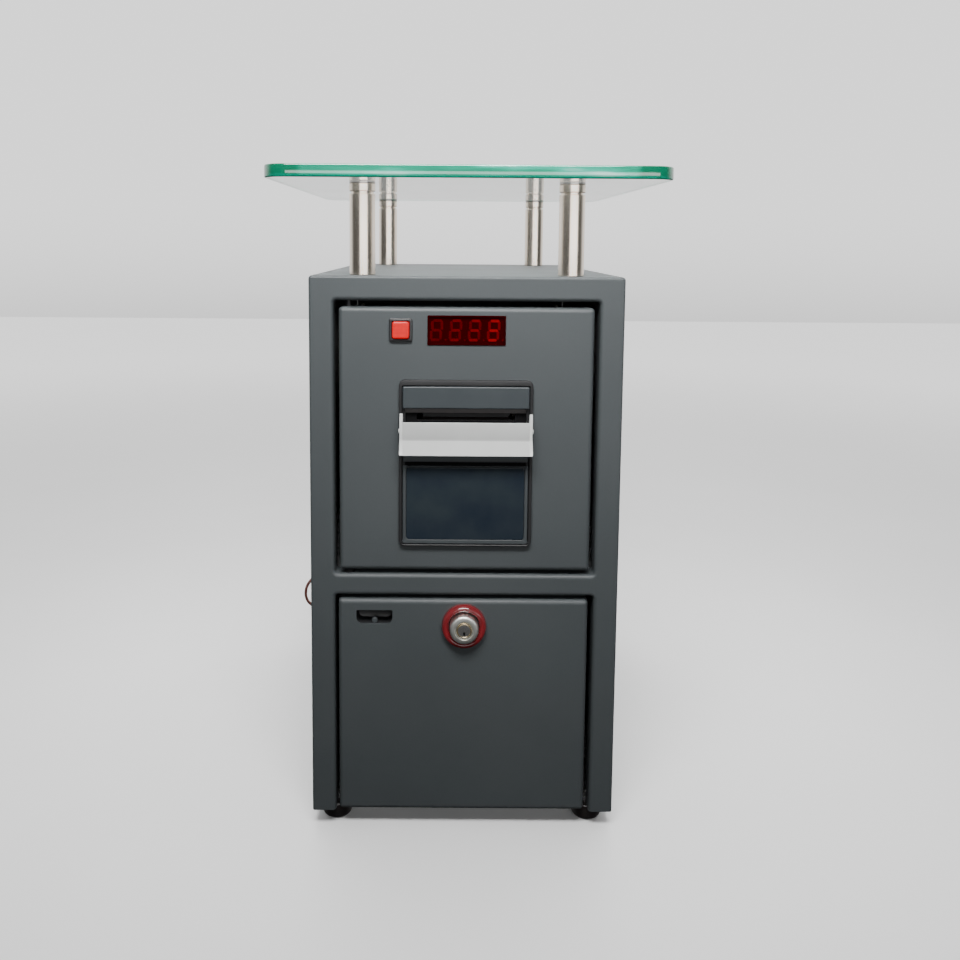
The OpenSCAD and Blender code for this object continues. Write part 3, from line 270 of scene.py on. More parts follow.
def glass_edge():
    """Polished edge of the plate in its own green, with painted highlights as pale streaks, painted
    shade at its ends and along its bottom, and a faint painted glow.
    """
    mat = material("glass_edge", (0.01, 0.30, 0.19), 0.08, Specular_IOR_Level=0.6,
                   Coat_Weight=0.6, Coat_Roughness=0.03)
    points = object_points(mat, (1, 1, 9))
    painted_light_streak = noise(mat, points, 16.0, 2.5, 0.5)
    colours = add(mat, "ShaderNodeValToRGB")
    stops = [(0.30, (0.001, 0.13, 0.075)), (0.48, (0.002, 0.21, 0.125)),
             (0.58, (0.02, 0.30, 0.21)), (0.68, (0.22, 0.45, 0.38)), (0.80, (0.40, 0.52, 0.48))]
    while len(colours.color_ramp.elements) < len(stops):
        colours.color_ramp.elements.new(0.5)
    for element, (place, colour) in zip(colours.color_ramp.elements, stops):
        element.position = place
        element.color = (*colour, 1)
    link(mat, painted_light_streak, colours.inputs["Fac"])
    axes = add(mat, "ShaderNodeSeparateXYZ")
    link(mat, object_points(mat), axes.inputs["Vector"])
    along = add(mat, "ShaderNodeMath", operation="ABSOLUTE")
    link(mat, axes.outputs["X"], along.inputs[0])
    shade = colours.outputs["Color"]
    # painted shade: darker green towards both ends and along the bottom of the edge
    bottom = glass_low[2] * MM
    for source, start, end, tone in (
            (along.outputs[0], 0.100, 0.104, (0.0, 0.10, 0.05)),
            (axes.outputs["Z"], bottom + 0.0026, bottom + 0.0008, (0.0, 0.15, 0.09))):
        reach = add(mat, "ShaderNodeMapRange")
        reach.inputs["From Min"].default_value = start
        reach.inputs["From Max"].default_value = end
        link(mat, source, reach.inputs["Value"])
        mix = add(mat, "ShaderNodeMix", data_type="RGBA")
        link(mat, reach.outputs["Result"], mix.inputs[0])
        link(mat, shade, mix.inputs[6])
        mix.inputs[7].default_value = (*tone, 1)
        shade = mix.outputs[2]
    link(mat, shade, shader(mat).inputs["Base Color"])
    # the painted colour also glows faintly: painted light carried through the plate
    link(mat, shade, shader(mat).inputs["Emission Color"])
    shader(mat).inputs["Emission Strength"].default_value = 0.12
    fine = noise(mat, points, 260.0, 2.0)
    link(mat, spread(mat, fine, 0.05, 0.14), shader(mat).inputs["Roughness"])
    return mat


def clear_glass():
    """Float glass with a faint green cast and a trace of surface wave."""
    mat = material("clear_glass", (0.93, 0.98, 0.96), 0.0, Transmission_Weight=1.0, IOR=1.5)
    points = object_points(mat)
    wave = noise(mat, points, 14.0, 1.0)
    link(mat, bump(mat, wave, 0.04, 0.0004), shader(mat).inputs["Normal"])
    smear = noise(mat, points, 9.0, 5.0)
    link(mat, spread(mat, smear, 0.0, 0.035), shader(mat).inputs["Roughness"])
    return mat


def glowing(name, colour, glow, strength, rough=0.3, cells=0.0, gloss=0.25):
    """Translucent plastic with emission: the button lit from behind, and a painted glow on the
    display's unlit bars; an optional grid of light cells.
    """
    mat = material(name, colour, rough, Emission_Strength=strength, Specular_IOR_Level=gloss)
    points = object_points(mat)
    patches = noise(mat, points, 260.0, 2.0)
    dim = [v * 0.72 for v in glow]
    light = ramp(mat, patches, dim, glow, 0.3, 0.65)
    if cells:
        grid = add(mat, "ShaderNodeTexVoronoi", Scale=cells, Randomness=0.0)
        link(mat, points, grid.inputs["Vector"])
        mix = add(mat, "ShaderNodeMix", data_type="RGBA", blend_type="MULTIPLY")
        mix.inputs[0].default_value = 0.5
        link(mat, light, mix.inputs[6])
        link(mat, ramp(mat, grid.outputs["Distance"], (1, 1, 1), (0.55, 0.5, 0.5), 0.2, 0.75),
             mix.inputs[7])
        light = mix.outputs[2]
    link(mat, light, shader(mat).inputs["Emission Color"])
    fine = noise(mat, points, 900.0, 2.0)
    link(mat, bump(mat, fine, 0.08, 0.00003), shader(mat).inputs["Normal"])
    return mat


def red_filter():
    """Thin red see-through filter in front of the digits, glossy on its face."""
    mat = material("red_filter", (0.02, 0.0, 0.0005), 0.12, Alpha=0.22, Specular_IOR_Level=0.03)
    points = object_points(mat)
    fine = noise(mat, points, 800.0, 2.0)
    link(mat, spread(mat, fine, 0.04, 0.09), shader(mat).inputs["Roughness"])
    return mat


def circuit_board():
    """Green solder mask with lighter tracks."""
    mat = material("circuit_board", (0.01, 0.09, 0.035), 0.35, Coat_Weight=0.4,
                   Coat_Roughness=0.2)
    points = object_points(mat)
    bricks = add(mat, "ShaderNodeTexBrick", Scale=160.0)
    bricks.inputs["Color1"].default_value = (0.012, 0.10, 0.04, 1)
    bricks.inputs["Color2"].default_value = (0.009, 0.075, 0.03, 1)
    bricks.inputs["Mortar"].default_value = (0.03, 0.17, 0.06, 1)
    bricks.inputs["Mortar Size"].default_value = 0.05
    turned = add(mat, "ShaderNodeMapping")
    turned.inputs["Rotation"].default_value = (math.radians(90), 0, 0)
    link(mat, points, turned.inputs["Vector"])
    link(mat, turned.outputs["Vector"], bricks.inputs["Vector"])
    link(mat, bricks.outputs["Color"], shader(mat).inputs["Base Color"])
    link(mat, bump(mat, bricks.outputs["Fac"], 0.3, 0.00005), shader(mat).inputs["Normal"])
    return mat


def make_materials():
    """Every finish that the pieces and nodes use."""
    powder_coat()
    galvanised()
    glass_edge()
    clear_glass()
    red_filter()
    circuit_board()
    brushed("stainless_tube", (0.66, 0.57, 0.47), (0.84, 0.77, 0.68), 0.22)
    brushed("zinc_plate", (0.50, 0.50, 0.49), (0.68, 0.68, 0.67), 0.32, (1, 1, 1), 900.0, 0.15)
    brushed("lock_face", (0.80, 0.81, 0.76), (0.92, 0.93, 0.88), 0.38, (1, 1, 1), 700.0, 0.2)
    brushed("turned_brass", (0.45, 0.36, 0.22), (0.62, 0.53, 0.36), 0.3, (1, 1, 1), 700.0, 0.2)
    textured("moulded_rubber", (0.012, 0.010, 0.010), (0.024, 0.019, 0.018), 0.42, 0.1)
    textured("black_plastic", (0.010, 0.010, 0.011), (0.017, 0.017, 0.018), 0.42, 0.08)
    textured("printer_plastic", (0.034, 0.039, 0.042), (0.043, 0.049, 0.052), 0.56, 0.06,
             Specular_IOR_Level=0.3)
    textured("surround_plastic", (0.011, 0.011, 0.012), (0.017, 0.017, 0.018), 0.55, 0.06,
             Specular_IOR_Level=0.3)
    # near-black painted shade for the mouth and the gap behind the printer cover's lip
    textured("painted_gap_shade", (0.003, 0.003, 0.003), (0.005, 0.005, 0.006), 0.8, 0.05,
             Specular_IOR_Level=0.1)
    textured("cover_plastic", (0.024, 0.030, 0.034), (0.031, 0.038, 0.042), 0.44, 0.06)
    textured("recess_plastic", (0.046, 0.041, 0.041), (0.060, 0.053, 0.053), 0.5, 0.06)
    # the second white is the same plastic painted darker: painted shade for the flap's upper wall
    # under the cover bar
    for name, tone in (("white_plastic", 0.42), ("white_plastic_painted_shade", 0.295)):
        textured(name, (tone, tone * 1.02, tone), (tone * 1.12, tone * 1.14, tone * 1.12), 0.34,
                 0.05, 25.0, 900.0, 0.00003, 0.2, Subsurface_Weight=0.12,
                 Subsurface_Radius=(0.004, 0.004, 0.004))
    textured("bonding_disc", (0.30, 0.28, 0.26), (0.40, 0.38, 0.35), 0.25, 0.05, metallic=1.0)
    textured("glossy_red", (0.12, 0.010, 0.013), (0.19, 0.016, 0.020), 0.14, 0.04, 60.0, 700.0,
             0.00004, 0.15, Coat_Weight=0.7, Coat_Roughness=0.05)
    textured("red_sleeve", (0.12, 0.040, 0.032), (0.19, 0.07, 0.055), 0.45, 0.08, 120.0)
    textured("natural_nylon", (0.70, 0.67, 0.58), (0.80, 0.77, 0.69), 0.4, 0.06)
    textured("thermal_paper", (0.78, 0.77, 0.73), (0.87, 0.86, 0.83), 0.75, 0.05, 90.0, 1200.0,
             stretch=(0.1, 1, 1))
    # black of the board's components, also used as painted shade inside the key plug's keyway
    textured("black_components_and_keyway_shade", (0.012, 0.012, 0.013), (0.03, 0.03, 0.032), 0.35, 0.08)
    textured("ferrite", (0.05, 0.05, 0.052), (0.09, 0.09, 0.093), 0.6, 0.06)
    textured("dark_window", (0.011, 0.016, 0.025), (0.021, 0.028, 0.033), 0.12, 0.03, 28.0,
             500.0, 0.00002, 0.1, Specular_IOR_Level=0.45)
    textured("display_well", (0.018, 0.0001, 0.0004), (0.025, 0.0002, 0.0006), 0.5, 0.05,
             Specular_IOR_Level=0.0)
    textured("blackened_steel", (0.012, 0.012, 0.013), (0.02, 0.02, 0.021), 0.38, 0.08,
             metallic=0.6)
    glowing("lit_button", (0.38, 0.006, 0.006), (1.0, 0.008, 0.010), 0.42, 0.35, 420.0)


# ---------------------------------------------------------------- mesh helpers


def corner_ring(x0, x1, z0, z1, radius, y, steps=CORNER_STEPS):
    """Rounded rectangle at depth y, anticlockwise seen from the front."""
    r = max(min(radius, (x1 - x0) / 2, (z1 - z0) / 2), 0.02)
    centres = [(x0 + r, z0 + r, 180), (x1 - r, z0 + r, 270), (x1 - r, z1 - r, 0),
               (x0 + r, z1 - r, 90)]
    return [(cx + r * math.cos(math.radians(start + 90 * k / steps)), y,
             cz + r * math.sin(math.radians(start + 90 * k / steps)))
            for cx, cz, start in centres for k in range(steps + 1)]


def level_ring(low, high, inset, corner, z, steps=CORNER_STEPS):
    """Rounded rectangle lying flat at height z, inset from the plan of a box."""
    ring = corner_ring(low[0] + inset, high[0] - inset, low[1] + inset, high[1] - inset,
                       corner - inset, 0, steps)
    return [(x, y, z) for x, _, y in ring]


def arch_ring(x0, x1, z0, z1, radius, y):
    """Open path over a rectangle without its lower edge, from lower right to lower left."""
    steps = CORNER_STEPS
    r = max(radius, 0.02)
    path = [(x1, y, z0)]
    for cx, start in ((x1 - r, 0), (x0 + r, 90)):
        path += [(cx + r * math.cos(math.radians(start + 90 * k / steps)), y,
                  z1 - r + r * math.sin(math.radians(start + 90 * k / steps)))
                 for k in range(steps + 1)]
    return path + [(x0, y, z0)]


def bend(radius, steps=BEND_STEPS):
    """Points of a quarter bend as (inset, depth), from the side wall to the face."""
    return [(radius * (1 - math.cos(math.radians(90 * k / steps))),
             radius * (1 - math.sin(math.radians(90 * k / steps)))) for k in range(steps + 1)]


def loft(bm, rings, closed=True):
    """Bridges neighbouring rings with quads and returns their vertices."""
    rows = [[bm.verts.new(Vector(p) * MM) for p in ring] for ring in rings]
    for low, high in zip(rows, rows[1:]):
        count = len(low) if closed else len(low) - 1
        for i in range(count):
            k = (i + 1) % len(low)
            bm.faces.new((low[i], low[k], high[k], high[i]))
    return rows


def join_and_orient(bm):
    """Merges vertices in the same place and turns every face outwards."""
    bmesh.ops.remove_doubles(bm, verts=bm.verts, dist=1e-6)
    bmesh.ops.recalc_face_normals(bm, faces=bm.faces)


def paint(bm, start, index, end=None):
    """Gives the faces from start to end that material index."""
    bm.faces.ensure_lookup_table()
    for face in bm.faces[start:end]:
        face.material_index = index


def flat_face(bm, loops, normal):
    """Fills the first loop, with the others as its holes, facing along normal."""
    points = [[Vector(p) * MM for p in loop] for loop in loops]
    verts = [bm.verts.new(p) for loop in points for p in loop]
    for tri in tessellate_polygon(points):
        a, b, c = (verts[i] for i in tri)
        if (b.co - a.co).cross(c.co - a.co).dot(Vector(normal)) < 0:
            b, c = c, b
        if (b.co - a.co).cross(c.co - a.co).length > 1e-14:
            bm.faces.new((a, b, c))


def finish_mesh(name, bm, mats, thickness=0.0, sharp=32, weld=True):
    """Turns a bmesh into a linked object, with sheet thickness behind its skin if asked."""
    if weld:
        bmesh.ops.remove_doubles(bm, verts=bm.verts, dist=2e-6)
    mesh = bpy.data.meshes.new(name)
    bm.to_mesh(mesh)
    bm.free()
    obj = bpy.data.objects.new(name, mesh)
    bpy.context.scene.collection.objects.link(obj)
    for mat in mats:
        mesh.materials.append(MATERIALS[mat])
    if thickness:
        wall = obj.modifiers.new("sheet", "SOLIDIFY")
        wall.thickness = thickness * MM
        wall.offset = -1
        wall.use_even_offset = True
        wall.use_quality_normals = True
        solid = bpy.data.meshes.new_from_object(
            obj.evaluated_get(bpy.context.evaluated_depsgraph_get()))
        obj.modifiers.clear()
        obj.data = solid
        solid.name = name
    obj.data.shade_smooth()
    obj.data.set_sharp_from_angle(angle=math.radians(sharp))
    return obj


def place(obj, body, slot, *nodes):
    """The piece rides on its body and stands for its CAD nodes. Its slot is not used."""
    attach(obj, body)
    if nodes:
        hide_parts(*nodes)
    return obj


def rounded_block(bm, x0, x1, z0, z1, y0, y1, corner, edge):
    """Block seen from the front, with rounded corners and a rounded front edge."""
    rings = [corner_ring(x0, x1, z0, z1, corner, y1)]
    flat_face(bm, rings, (0, 1, 0))
    for inset, depth in bend(edge, 4):
        rings.append(corner_ring(x0 + inset, x1 - inset, z0 + inset, z1 - inset,
                                 corner - inset, y0 + depth))
    last = edge + 0.15
    rings.append(corner_ring(x0 + last, x1 - last, z0 + last, z1 - last, corner - last, y0))
    loft(bm, rings)
    flat_face(bm, [rings[-1]], (0, -1, 0))


def brick(bm, low, high, edge):
    """Plain block with a small bevel on every edge."""
    size = [h - l for l, h in zip(low, high)]
    centre = [(l + h) / 2 for l, h in zip(low, high)]
    matrix = Matrix.Translation(Vector(centre) * MM) @ Matrix.Diagonal(
        Vector((*[s * MM for s in size], 1)))
    made = bmesh.ops.create_cube(bm, size=1, matrix=matrix)
    edges = list({e for v in made["verts"] for e in v.link_edges})
    bmesh.ops.bevel(bm, geom=edges, offset=min(edge, min(size) / 3) * MM, segments=2,
                    profile=0.7, affect="EDGES")


AXES = {"x": lambda along, c, s: (along, c, s), "y": lambda along, c, s: (s, along, c),
        "z": lambda along, c, s: (c, s, along)}


def lathe(bm, profile, axis, centre, segments=ROUND):
    """Turns (radius, height) points about an axis. The profile runs so that its left is out."""
    to_space = AXES[axis]
    rows = []
    for radius, along in profile:
        if radius < 1e-6:
            point = Vector(to_space(along, 0, 0)) + Vector(centre)
            rows.append([bm.verts.new(point * MM)])
            continue
        rows.append([bm.verts.new((Vector(to_space(
            along, radius * math.cos(2 * math.pi * k / segments),
            radius * math.sin(2 * math.pi * k / segments))) + Vector(centre)) * MM)
            for k in range(segments)])
    for low, high in zip(rows, rows[1:]):
        for i in range(segments):
            k = (i + 1) % segments
            quad = [low[i % len(low)], low[k % len(low)], high[k % len(high)],
                    high[i % len(high)]]
            quad = [v for n, v in enumerate(quad) if v not in quad[:n]]
            if len(quad) > 2:
                bm.faces.new(quad)


def turned(name, profile, axis, centres, mat, segments=ROUND, sharp=32):
    """One piece made of the same turned profile at each centre, its faces pointing out."""
    bm = bmesh.new()
    for centre in centres:
        lathe(bm, profile, axis, centre, segments)
    join_and_orient(bm)
    return finish_mesh(name, bm, [mat], sharp=sharp, weld=False)


# ---------------------------------------------------------------- rows of the same piece

REPEAT_INPUTS = [("Columns", "NodeSocketInt"), ("Rows", "NodeSocketInt"),
                 ("Start", "NodeSocketVector"), ("Column Step", "NodeSocketVector"),
                 ("Row Step", "NodeSocketVector"), ("Finish", "NodeSocketMaterial")]


def rows_tree():
    """Node tree that repeats the mesh it is given in columns and rows."""
    tree = bpy.data.node_groups.get("columns_and_rows")
    if tree:
        return tree
    tree = bpy.data.node_groups.new("columns_and_rows", "GeometryNodeTree")
    tree.interface.new_socket("Geometry", in_out="INPUT", socket_type="NodeSocketGeometry")
    for label, kind in REPEAT_INPUTS:
        tree.interface.new_socket(label, in_out="INPUT", socket_type=kind)
    tree.interface.new_socket("Geometry", in_out="OUTPUT", socket_type="NodeSocketGeometry")
    given = tree.nodes.new("NodeGroupInput").outputs

    def line(count, step, start=None):
        node = tree.nodes.new("GeometryNodeMeshLine")
        node.mode = "OFFSET"
        tree.links.new(given[count], node.inputs["Count"])
        tree.links.new(given[step], node.inputs["Offset"])
        if start:
            tree.links.new(given[start], node.inputs["Start Location"])
        return node.outputs["Mesh"]

    def on_points(points, piece):
        node = tree.nodes.new("GeometryNodeInstanceOnPoints")
        tree.links.new(points, node.inputs["Points"])
        tree.links.new(piece, node.inputs["Instance"])
        real = tree.nodes.new("GeometryNodeRealizeInstances")
        tree.links.new(node.outputs["Instances"], real.inputs["Geometry"])
        return real.outputs["Geometry"]

    spots = on_points(line("Columns", "Column Step", "Start"), line("Rows", "Row Step"))
    pieces = on_points(spots, given["Geometry"])
    painted = tree.nodes.new("GeometryNodeSetMaterial")
    tree.links.new(pieces, painted.inputs["Geometry"])
    tree.links.new(given["Finish"], painted.inputs["Material"])
    result = tree.nodes.new("NodeGroupOutput")
    tree.links.new(painted.outputs["Geometry"], result.inputs["Geometry"])
    return tree


def repeated(name, bm, finish, start, counts, steps):
    """One mesh of equal pieces: bm is one piece at the origin, sizes are in millimetres."""
    bmesh.ops.recalc_face_normals(bm, faces=bm.faces)
    obj = finish_mesh(name, bm, [finish], weld=False)
    tree = rows_tree()
    values = {"Columns": counts[0], "Rows": counts[1], "Start": Vector(start) * MM,
              "Column Step": Vector(steps[0]) * MM, "Row Step": Vector(steps[1]) * MM,
              "Finish": MATERIALS[finish]}
    modifier = obj.modifiers.new("rows", "NODES")
    modifier.node_group = tree
    for item in tree.interface.items_tree:
        if item.in_out == "INPUT" and item.name in values:
            modifier[item.identifier] = values[item.name]
    view = bpy.context.evaluated_depsgraph_get()
    mesh = bpy.data.meshes.new_from_object(obj.evaluated_get(view))
    obj.modifiers.clear()
    obj.data = mesh
    mesh.name = name
    mesh.set_sharp_from_angle(angle=math.radians(32))
    return obj


def pan_head(bm, radius, height, shank_r, shank_l):
    """Cross-recessed pan-head screw; its head points along +y and its seat is at y = 0."""
    crown = [(radius * math.cos(math.radians(a)), height * math.sin(math.radians(a)) ** 0.8)
             for a in range(15, 80, 13)]
    profile = [(0, -shank_l), (shank_r - 0.3, -shank_l), (shank_r, -shank_l + 0.4)]
    y = -shank_l + 0.8
    while y < -0.8:
        profile += [(shank_r, y), (shank_r - 0.22, y + 0.3)]
        y += 0.6
    profile += [(shank_r, 0), (radius, 0), (radius, height * 0.2)] + crown
    profile += [(radius * 0.5, height)]
    lathe(bm, profile, "y", (0, 0, 0), 40)
    rim = circle_loop(0, 0, radius * 0.5, height, 40)
    cross = []
    arm, wide = radius * 0.42, radius * 0.13
    for turn in range(4):
        c, s = ((1, 0), (0, 1), (-1, 0), (0, -1))[turn]
        for along, across in ((wide, -wide), (arm, -wide), (arm, wide)):
            cross.append((along * c - across * s, height, along * s + across * c))
    floor = [(x * 0.6, height - radius * 0.35, z * 0.6) for x, _, z in cross]
    flat_face(bm, [rim, cross], (0, 1, 0))
    loft(bm, [cross, floor])
    flat_face(bm, [floor], (0, 1, 0))
    bmesh.ops.remove_doubles(bm, verts=bm.verts, dist=2e-6)


def back_screws():
    """Six screws down the sides of the back panel and one in the middle below."""
    low, high = span("back_screws")
    panel_y = span("back_panel")[1][1]
    head_r, head_h, shank_r = 2.8, high[1] - panel_y, 1.5
    first_z = shell_low[2] + 40
    gap = (high[2] - head_r - first_z) / 2
    across = high[0] - low[0] - 2 * head_r
    groups = (("back_panel_screws", (low[0] + head_r, panel_y, first_z), (2, 3),
               ((across, 0, 0), (0, 0, gap)), ["back_screws"]),
              ("back_panel_low_screw", (0, panel_y, low[2] + head_r), (1, 1),
               ((0, 0, 0), (0, 0, 0)), []))
    for name, start, counts, steps, nodes in groups:
        bm = bmesh.new()
        pan_head(bm, head_r, head_h, shank_r, panel_y - low[1])
        screws = repeated(name, bm, "zinc_plate", start, counts, steps)
        place(screws, "cabinet", "zinc", *nodes)


# ---------------------------------------------------------------- cabinet


def cabinet_skin():
    """Folded shell with its front columns and rails as one continuous skin."""
    x0, x1 = shell_low[0], shell_high[0]
    z0, z1 = shell_low[2], shell_high[2]
    back = shell_high[1]
    column = x1 - rail_high[0]
    outer_r, open_r, corner_r = 1.8, 2.6, 2.4
    bm = bmesh.new()
    rings = [arch_ring(x0, x1, z0, z1, 2.2, back)]
    for inset, depth in bend(outer_r):
        rings.append(arch_ring(x0 + inset, x1 - inset, z0, z1 - inset, 2.2 - inset,
                               front + depth))
    inset = outer_r + 0.3
    rings.append(arch_ring(x0 + inset, x1 - inset, z0, z1 - inset, 0.3, front))
    loft(bm, rings, closed=False)

    # the two openings, each with its edge bent back
    upper = (x0 + column, x1 - column, rail_high[2], z1 - column)
    lower = (x0 + column, x1 - column, z0, rail_low[2])
    steps = [(-open_r - 0.3, 0.0)]
    for inset, depth in bend(open_r)[::-1]:
        steps.append((-inset, depth))
    steps.append((0.0, fold))
    holes = []
    for maker, (a, b, c, d), closed in ((corner_ring, upper, True), (arch_ring, lower, False)):
        opening = []
        for outset, depth in steps:
            low_z = c + outset if closed else c
            opening.append(maker(a + outset, b - outset, low_z, d - outset,
                                 corner_r - outset, front + depth))
        loft(bm, opening, closed=closed)
        holes.append(opening[0])
    border = rings[-1] + holes[1][::-1]
    flat_face(bm, [border, holes[0]], (0, -1, 0))
    shell = finish_mesh("cabinet_body", bm, ["powder_coat"], sheet)
    place(shell, "cabinet", "powder_coat", "cabinet_shell", "mid_rail")


def folded_front(name, low, high, holes):
    """Folded pan: a face with holes, rounded front edges and returns behind them."""
    bend_r, corner_r = 3.0, 2.6
    bm = bmesh.new()
    rings = [corner_ring(low[0], high[0], low[2], high[2], corner_r, high[1])]
    for inset, depth in bend(bend_r):
        rings.append(corner_ring(low[0] + inset, high[0] - inset, low[2] + inset,
                                 high[2] - inset, corner_r - inset, low[1] + depth))
    inset = bend_r + 0.3
    rings.append(corner_ring(low[0] + inset, high[0] - inset, low[2] + inset, high[2] - inset,
                             0.1, low[1]))
    loft(bm, rings)
    flat_face(bm, [rings[-1]] + holes, (0, -1, 0))
    return finish_mesh(name, bm, ["powder_coat"], sheet)


def circle_loop(x, z, radius, y, count=48):
    return [(x + radius * math.cos(2 * math.pi * k / count), y,
             z + radius * math.sin(2 * math.pi * k / count)) for k in range(count)]


def pull_loop(grow, y, steps=8):
    """Outline of the finger pull: flat upper edge, rounded lower corners."""
    x0, x1, z0, z1 = pull_hole
    x0, x1, z0, z1 = x0 - grow, x1 + grow, z0 - grow, z1 + grow
    r = (z1 - z0) * 0.45
    path = [(x1 - 0.6, y, z1), (x0 + 0.6, y, z1), (x0, y, z1 - 0.6)]
    for cx, start in ((x0 + r, 180), (x1 - r, 270)):
        path += [(cx + r * math.cos(math.radians(start + 90 * k / steps)), y,
                  z0 + r + r * math.sin(math.radians(start + 90 * k / steps)))
                 for k in range(steps + 1)]
    return path + [(x1, y, z1 - 0.6)]


BUTTON_HOLE = 13.8


def upper_front():
    """Upper panel with its holes for display, button and printer."""
    hole = 0.2
    display_hole = corner_ring(display_low[0] - hole, display_high[0] + hole,
                               display_low[2] - hole, display_high[2] + hole, 0.6, front)
    well = BUTTON_HOLE / 2
    button_hole = corner_ring(cap_x - well, cap_x + well, cap_z - well, cap_z + well, 0.6, front)
    printer_hole = corner_ring(chassis_low[0] + 0.5, chassis_high[0] - 0.5,
                               chassis_low[2] - 0.3, chassis_high[2] + 0.3, 1.5, front)
    panel = folded_front("upper_front_panel", panel_low, panel_high,
                         [display_hole, button_hole, printer_hole])
    place(panel, "upper_front", "powder_coat", "upper_panel")


def drawer_face():
    """Drawer's folded front with the lock's hole and the finger pull's slot."""
    lock_hole = circle_loop(lock_x, lock_z, 8.7, front)
    face = folded_front("drawer_face", drawer_low, drawer_high,
                        [lock_hole, pull_loop(0, front)])
    place(face, "drawer", "powder_coat", "drawer_front")


def drawer_box():
    """Open-topped sheet tray with a folded hem and rounded upright corners."""
    corner, wall = 2.5, 1.2
    rib_inset, rib_height, rib_depth = 12, 3, 0.4

    def plan(inset, z):
        return level_ring(tray_low, tray_high, inset, corner, z)

    bm = bmesh.new()
    low, high = tray_low[2], tray_high[2]
    rings = [plan(wall + i, low + wall + d) for i, d in reversed(bend(wall, 3))]
    rings += [plan(wall, high - 0.5), plan(wall - 0.25, high), plan(0.25, high),
              plan(0, high - 0.5)]
    rings += [plan(i, low + d) for i, d in bend(wall, 3)]
    loft(bm, rings)
    flat_face(bm, [rings[-1]], (0, 0, -1))
    flat_face(bm, [rings[0]], (0, 0, 1))
    z = high - rib_inset
    for side in (-1, 1):
        x = side * (tray_high[0] - wall - 0.02)
        x0, x1 = sorted((x, x - side * rib_depth))
        brick(bm, (x0, tray_low[1] + rib_inset, z),
              (x1, tray_high[1] - rib_inset, z + rib_height), 0.15)
    join_and_orient(bm)
    tray = finish_mesh("drawer_box", bm, ["galvanised_sheet"], weld=False)
    place(tray, "drawer", "inner_steel", "drawer_tray")


def rubber_feet():
    """Four domed feet with a neck that seats against the bottom plate."""
    r = 10.0
    height = foot_high[2]
    xs = (foot_low[0] + r, foot_high[0] - r)
    ys = (foot_low[1] + r, foot_high[1] - r)
    dome = [(r - 3 + 3 * math.sin(math.radians(a)), 3 - 3 * math.cos(math.radians(a)))
            for a in range(0, 91, 10)]
    seat = height - 4
    profile = [(0, seat), (3.9, seat), (4.1, seat - 0.4), (4.1, 0.4), (4.6, 0)] + dome
    profile += [(r, height - 1.6), (r - 0.5, height - 1.0), (r - 0.5, height - 0.4),
                (r - 0.2, height), (0, height)]
    feet = turned("domed_feet", profile, "z", [(x, y, 0) for x in xs for y in ys],
                  "moulded_rubber")
    place(feet, "cabinet", "rubber", "rubber_feet")


# ---------------------------------------------------------------- glass shelf


def glass_shelf():
    """Plate with polished, slightly arrised edges; the edge has its own finish."""
    z0, z1 = glass_low[2], glass_high[2]
    corner, arris, steps = 16, 0.9, 12

    def plan(inset, z):
        return level_ring(glass_low, glass_high, inset, corner, z, steps)

    bm = bmesh.new()
    rings = [plan(arris + 0.2, z0)]
    rings += [plan(i, z0 + d) for i, d in reversed(bend(arris, 3))]
    rings += [plan(i, z1 - d) for i, d in bend(arris, 3)]
    rings += [plan(arris + 0.2, z1)]
    loft(bm, rings)
    edge_faces = set(bm.faces)
    flat_face(bm, [rings[0]], (0, 0, -1))
    flat_face(bm, [rings[-1]], (0, 0, 1))
    for face in bm.faces:
        face.material_index = 1 if face in edge_faces else 0
    join_and_orient(bm)
    glass = finish_mesh("glass_shelf", bm, ["clear_glass", "glass_edge"], weld=False)
    glass.visible_shadow = False
    place(glass, "cabinet", "glass", "glass_top")


def posts():
    """Round stainless posts: turned tube, necked groove, and a levelling collar on each."""
    r = 8.5
    top = span("post_collars")[1][2]
    collar_h = 5.4
    collar_z = top - collar_h
    profile_top = collar_z - 1.2
    centres = {}
    for name in ("post_front_left", "post_front_right", "post_rear_left", "post_rear_right"):
        low, high = span(name)
        centre = ((low[0] + high[0]) / 2, (low[1] + high[1]) / 2, 0)
        centres[name] = centre
        base = low[2]
        profile = [(0, base), (r - 0.5, base), (r, base + 0.35), (r, profile_top - 0.4),
                   (r - 0.4, profile_top), (r - 1.2, profile_top), (r - 1.2, collar_z),
                   (0, collar_z)]
        tube = turned(name.replace("post", "stainless_post"), profile, "z", [centre],
                      "stainless_tube")
        place(tube, "cabinet", "stainless", name)
    profile = [(0, collar_z), (r - 0.5, collar_z), (r, collar_z + 0.5), (r, top - 0.5),
               (r - 0.5, top), (0, top)]
    collars = turned("levelling_collars", profile, "z", list(centres.values()),
                     "stainless_tube")
    place(collars, "cabinet", "stainless", "post_collars")


# ---------------------------------------------------------------- display and button

DIGIT_SHAPES = {"top": (0, 1, 0), "middle": (0, 0, 0), "bottom": (0, -1, 0),
                "upper_left": (-1, 0.5, 90), "upper_right": (1, 0.5, 90),
                "lower_left": (-1, -0.5, 90), "lower_right": (1, -0.5, 90)}
# emission of the unlit bars is painted light: brighter digit by digit to the right, and brighter on
# the level bars
BRIGHT_BARS = ("top", "middle", "bottom")
SEGMENT_PAINTED_GLOW = [("dim", 0.05), ("low", 0.15), ("mid", 0.24), ("full", 0.46)]


